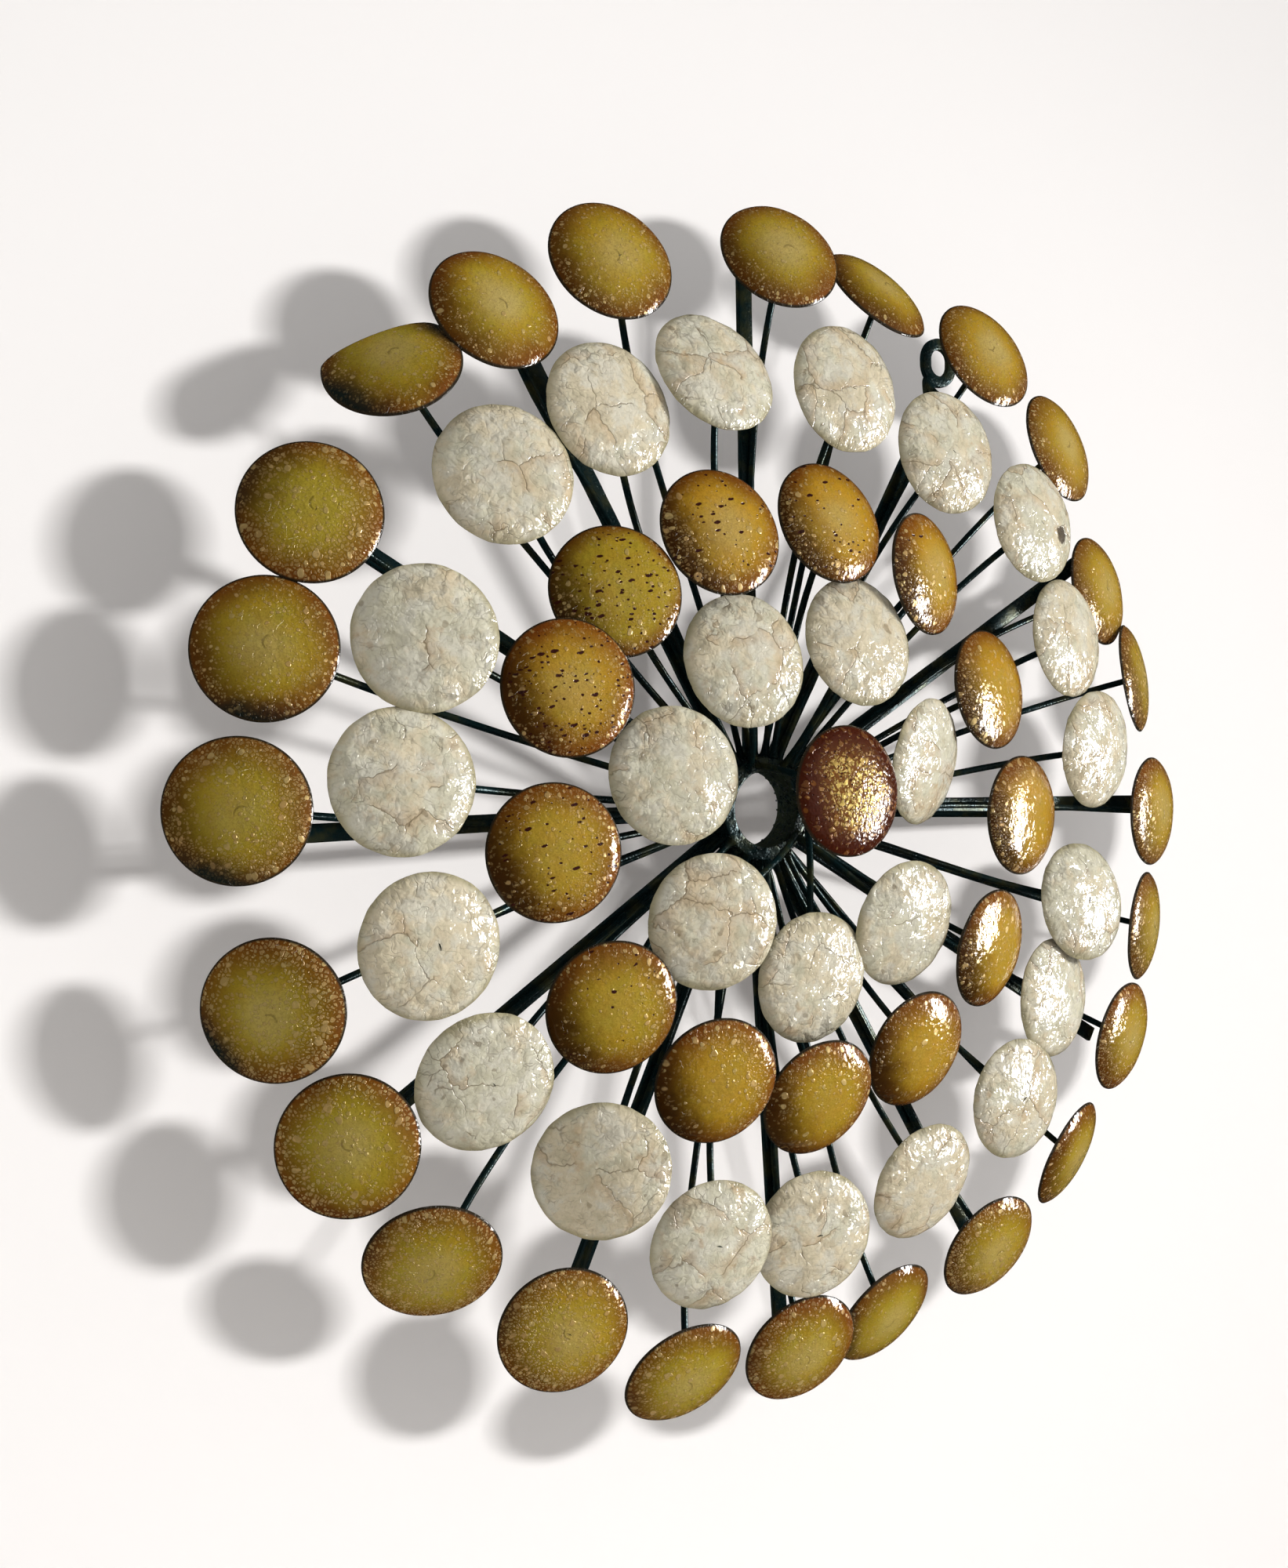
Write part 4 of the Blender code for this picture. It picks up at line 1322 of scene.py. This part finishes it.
class SCULPTURE_OT_hanger_eyes(bpy.types.Operator):
    """Make the two flat eyes that the sculpture hangs on"""
    bl_idname = "sculpture.hanger_eyes"
    bl_label = "Hanger eyes"

    def execute(self, context):
        settings = context.scene.sculpture_steel
        thickness = settings.bar_thickness
        band = rounded_section(EYE_BAND, thickness, settings.edge_radius)
        strip = rounded_section(STRIP_WIDTH, thickness, settings.edge_radius)
        rim_width, rim_height = EYE_HOLE[0] + 2 * EYE_BAND, EYE_HOLE[1] + 2 * EYE_BAND
        half_width = (EYE_HOLE[0] + EYE_BAND) / 2
        rise = (rim_height - rim_width) / 2
        for node, side, arm in (("hanger_eye_right", 1, "arm_01"), ("hanger_eye_left", -1, "arm_11")):
            low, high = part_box(node)
            outermost = high.x if side > 0 else low.x
            eye = FACE.inverted() @ Vector((outermost - side * rim_width / 2, high.y - thickness / 2,
                                            high.z - rim_height / 2))
            clock = clock_of(find_foot(arm))
            last = bar_end(arm, clock, settings.bar_width, thickness)
            points = []
            for i in range(EYE_SEGMENTS):
                turn = math.tau * i / EYE_SEGMENTS
                lift = rise if math.sin(turn) >= 0 else -rise
                points.append(eye + Vector((half_width * math.cos(turn),
                                            half_width * math.sin(turn) + lift, 0)))
            rings = []
            for i, point in enumerate(points):
                along = (points[(i + 1) % EYE_SEGMENTS] - points[i - 1]).normalized()
                across = along.cross(OUT)
                ring = []
                for right, up in band:
                    corner = point + across * right + OUT * up
                    ring.append(corner + OUT * ripple(corner, 0.009, side) * 0.00015)
                rings.append(ring)
            shape = Shape()
            shape.rings(rings + rings[:1])
            back = BAR_HEIGHT - thickness / 2 - GAP - thickness / 2
            line = [place(clock, last - EYE_LAP, back), place(clock, last - 0.007, back),
                    place(clock, EYE_REACH - rim_height / 2 - 0.001, eye.z),
                    place(clock, EYE_REACH - rim_height / 2 + 0.006, eye.z)]
            path = [a.lerp(b, i / 8) for a, b in zip(line, line[1:]) for i in range(8)] + line[-1:]
            for _ in range(3):
                softened = [(a + b * 2 + c) / 4 for a, b, c in zip(path, path[1:], path[2:])]
                path = path[:1] + softened + path[-1:]
            shape.bar(path, strip, 0.0002, side)
            shape.dress(node + "_plate", node)
        return {"FINISHED"}


def stage_sheet(name, material, near, far, height, pose):
    """A flat piece of the stage that reaches from near to far."""
    shape = Shape()
    shape.rings([[Vector((x, y, height)) for x in (-STAGE_HALF, STAGE_HALF)] for y in (near, far)],
                around=False)
    piece = shape.build(name, [material], pose)
    piece.visible_glossy = False
    return piece


def collection_of(name, pieces, excluded=False):
    """A collection for light linking, of what is lit or of what isn't."""
    made = bpy.data.collections.new(name)
    for piece in pieces:
        made.objects.link(piece)
    if excluded:
        for link in made.collection_objects:
            link.light_linking.link_state = "EXCLUDE"
    return made


def lamp(name, spot, width, height, strength, unseen_by, lights=None, shaded_by=None):
    """A lamp aimed at the collar, without effect on one kind of ray. It may light only some things."""
    light = bpy.data.lights.new(name, "AREA")
    light.shape = "RECTANGLE"
    light.size = width
    light.size_y = height
    light.energy = strength
    item = bpy.data.objects.new(name, light)
    item.location = FACE @ Vector(spot)
    item.rotation_mode = "QUATERNION"
    item.rotation_quaternion = (item.location - MIDDLE).to_track_quat("Z", "Y")
    bpy.context.scene.collection.objects.link(item)
    setattr(item, "visible_" + unseen_by, False)
    if lights:
        item.light_linking.receiver_collection = lights
        item.light_linking.blocker_collection = shaded_by
        light.use_nodes = True
        nodes = Nodes(light.node_tree)
        even = nodes.add("ShaderNodeLightFalloff", {"Strength": 1.0})["Constant"]
        nodes.feed(light.node_tree.nodes["Emission"].inputs["Strength"], even)


class SCULPTURE_OT_stage(bpy.types.Operator):
    """Make the pale wall and floor, the lamps and the camera"""
    bl_idname = "sculpture.stage"
    bl_label = "Stage, light and camera"

    def execute(self, context):
        settings = context.scene.sculpture_stage
        pale = Finish("pale_wall", Roughness=0.9, Base_Color=(0.93, 0.90, 0.88))
        facing = pale.add("ShaderNodeNewGeometry")["Backfacing"]
        clear = pale.add("ShaderNodeBsdfTransparent")["BSDF"]
        blend = pale.add("ShaderNodeMixShader", {0: facing, 1: Value(pale, pale.shader.outputs[0]),
                                                 2: clear})["Shader"]
        pale.feed(pale.tree.nodes["Material Output"].inputs["Surface"], blend)
        # The backdrop stands a little way behind the work and is turned from it, so that the
        # shadows fall clear of the discs on the left.
        turned = Matrix.Rotation(math.radians(BACKDROP_TURN), 4, "Y")
        wall = stage_sheet("wall", pale.material, WALL_FOOT, WALL_TOP, 0,
                           FACE @ Matrix.Translation(OUT * -BACKDROP_GAP) @ turned)
        ground = Finish("pale_floor", Roughness=0.8, Base_Color=(0.88, 0.86, 0.84))
        floor = stage_sheet("floor", ground.material, FLOOR_FRONT, FLOOR_BACK, FLOOR_HEIGHT,
                            Matrix.Identity(4))

        world = bpy.data.worlds.new("surround")
        context.scene.world = world
        world.use_nodes = True
        nodes = Nodes(world.node_tree)
        way = nodes.add("ShaderNodeTexCoord")["Generated"]
        right = nodes.step(nodes.dot(way, BRIGHT_SIDE.normalized()), -1.0, 1.0)
        mirrored = nodes.dot(way, MIRRORED_SIDE.normalized())
        room = nodes.mix(nodes.step(mirrored, 0.55, 1.0), ROOM_DARK, ROOM_PALE)
        soft = nodes.mix(right, (settings.surround * 0.48,) * 3, (settings.surround * 1.18,) * 3)
        ray = nodes.add("ShaderNodeLightPath")
        light = nodes.mix(ray["Is Glossy Ray"], soft, room)
        light = nodes.mix(ray["Is Camera Ray"], light, BEYOND)
        nodes.feed(world.node_tree.nodes["Background"].inputs["Color"], light)

        # One lamp throws the shadows on the backdrop, one lights the work from the right, and the
        # window is only seen mirrored in the lacquer. The shadow lamp's light goes through the rings
        # nearest the collar, so they throw no shadow on the backdrop.
        inner = [piece for piece in bpy.data.objects if piece.name.startswith(SHADOWLESS)]
        lamp("shadow_lamp", *SHADOW_LAMP, settings.shadow_power, "glossy",
             collection_of("backdrop", (wall, floor)), collection_of("all_but_inner_rings", inner, True))
        lamp("side_lamp", *SIDE_LAMP, settings.lamp_power, "glossy",
             collection_of("all_but_backdrop", (wall, floor), True))
        lamp("window", *WINDOW, settings.window_power, "diffuse")

        camera = bpy.data.cameras.new("camera")
        camera.lens = settings.focal_length
        camera.sensor_width = 36
        camera.clip_start = 0.01
        eye = bpy.data.objects.new("camera", camera)
        azimuth, elevation = math.radians(CAMERA_AZIMUTH), math.radians(CAMERA_ELEVATION)
        back = Vector((math.sin(azimuth) * math.cos(elevation),
                       -math.cos(azimuth) * math.cos(elevation), math.sin(elevation)))
        eye.location = MIDDLE + CAMERA_AIM + back * CAMERA_DISTANCE
        eye.rotation_mode = "QUATERNION"
        tilt = Matrix.Rotation(math.radians(CAMERA_TILT), 3, "Z").to_quaternion()
        eye.rotation_quaternion = back.to_track_quat("Z", "Y") @ tilt
        context.scene.collection.objects.link(eye)
        context.scene.camera = eye
        context.scene.view_settings.view_transform = "Standard"
        return {"FINISHED"}


class SCULPTURE_PT_sidebar(bpy.types.Panel):
    """Sizes and colours, and a button for each group of pieces"""
    bl_idname = "SCULPTURE_PT_sidebar"
    bl_label = "Disc wall sculpture"
    bl_space_type = "VIEW_3D"
    bl_region_type = "UI"
    bl_category = "Sculpture"

    def draw(self, context):
        for group in SETTINGS:
            settings = getattr(context.scene, group)
            column = self.layout.column(align=True)
            for name in settings.__annotations__:
                column.prop(settings, name)
        for operator in OPERATORS:
            self.layout.operator(operator.bl_idname)


SETTINGS = {"sculpture_discs": DiscSettings, "sculpture_steel": SteelSettings,
            "sculpture_colours": ColourSettings, "sculpture_stage": StageSettings}
OPERATORS = (SCULPTURE_OT_collar, SCULPTURE_OT_arms, SCULPTURE_OT_stalk_rods,
             SCULPTURE_OT_hanger_eyes, SCULPTURE_OT_outer_discs, SCULPTURE_OT_middle_discs,
             SCULPTURE_OT_pearl_discs, SCULPTURE_OT_copper_disc, SCULPTURE_OT_stage)
CLASSES = (*SETTINGS.values(), *OPERATORS, SCULPTURE_PT_sidebar)


def register():
    for item in CLASSES:
        bpy.utils.register_class(item)
    for name, settings in SETTINGS.items():
        setattr(bpy.types.Scene, name, PointerProperty(type=settings))


def unregister():
    for name in SETTINGS:
        delattr(bpy.types.Scene, name)
    for item in reversed(CLASSES):
        bpy.utils.unregister_class(item)


def main():
    register()
    for operator in OPERATORS:
        group, name = operator.bl_idname.split(".")
        getattr(getattr(bpy.ops, group), name)()


if __name__ == "__main__":
    main()
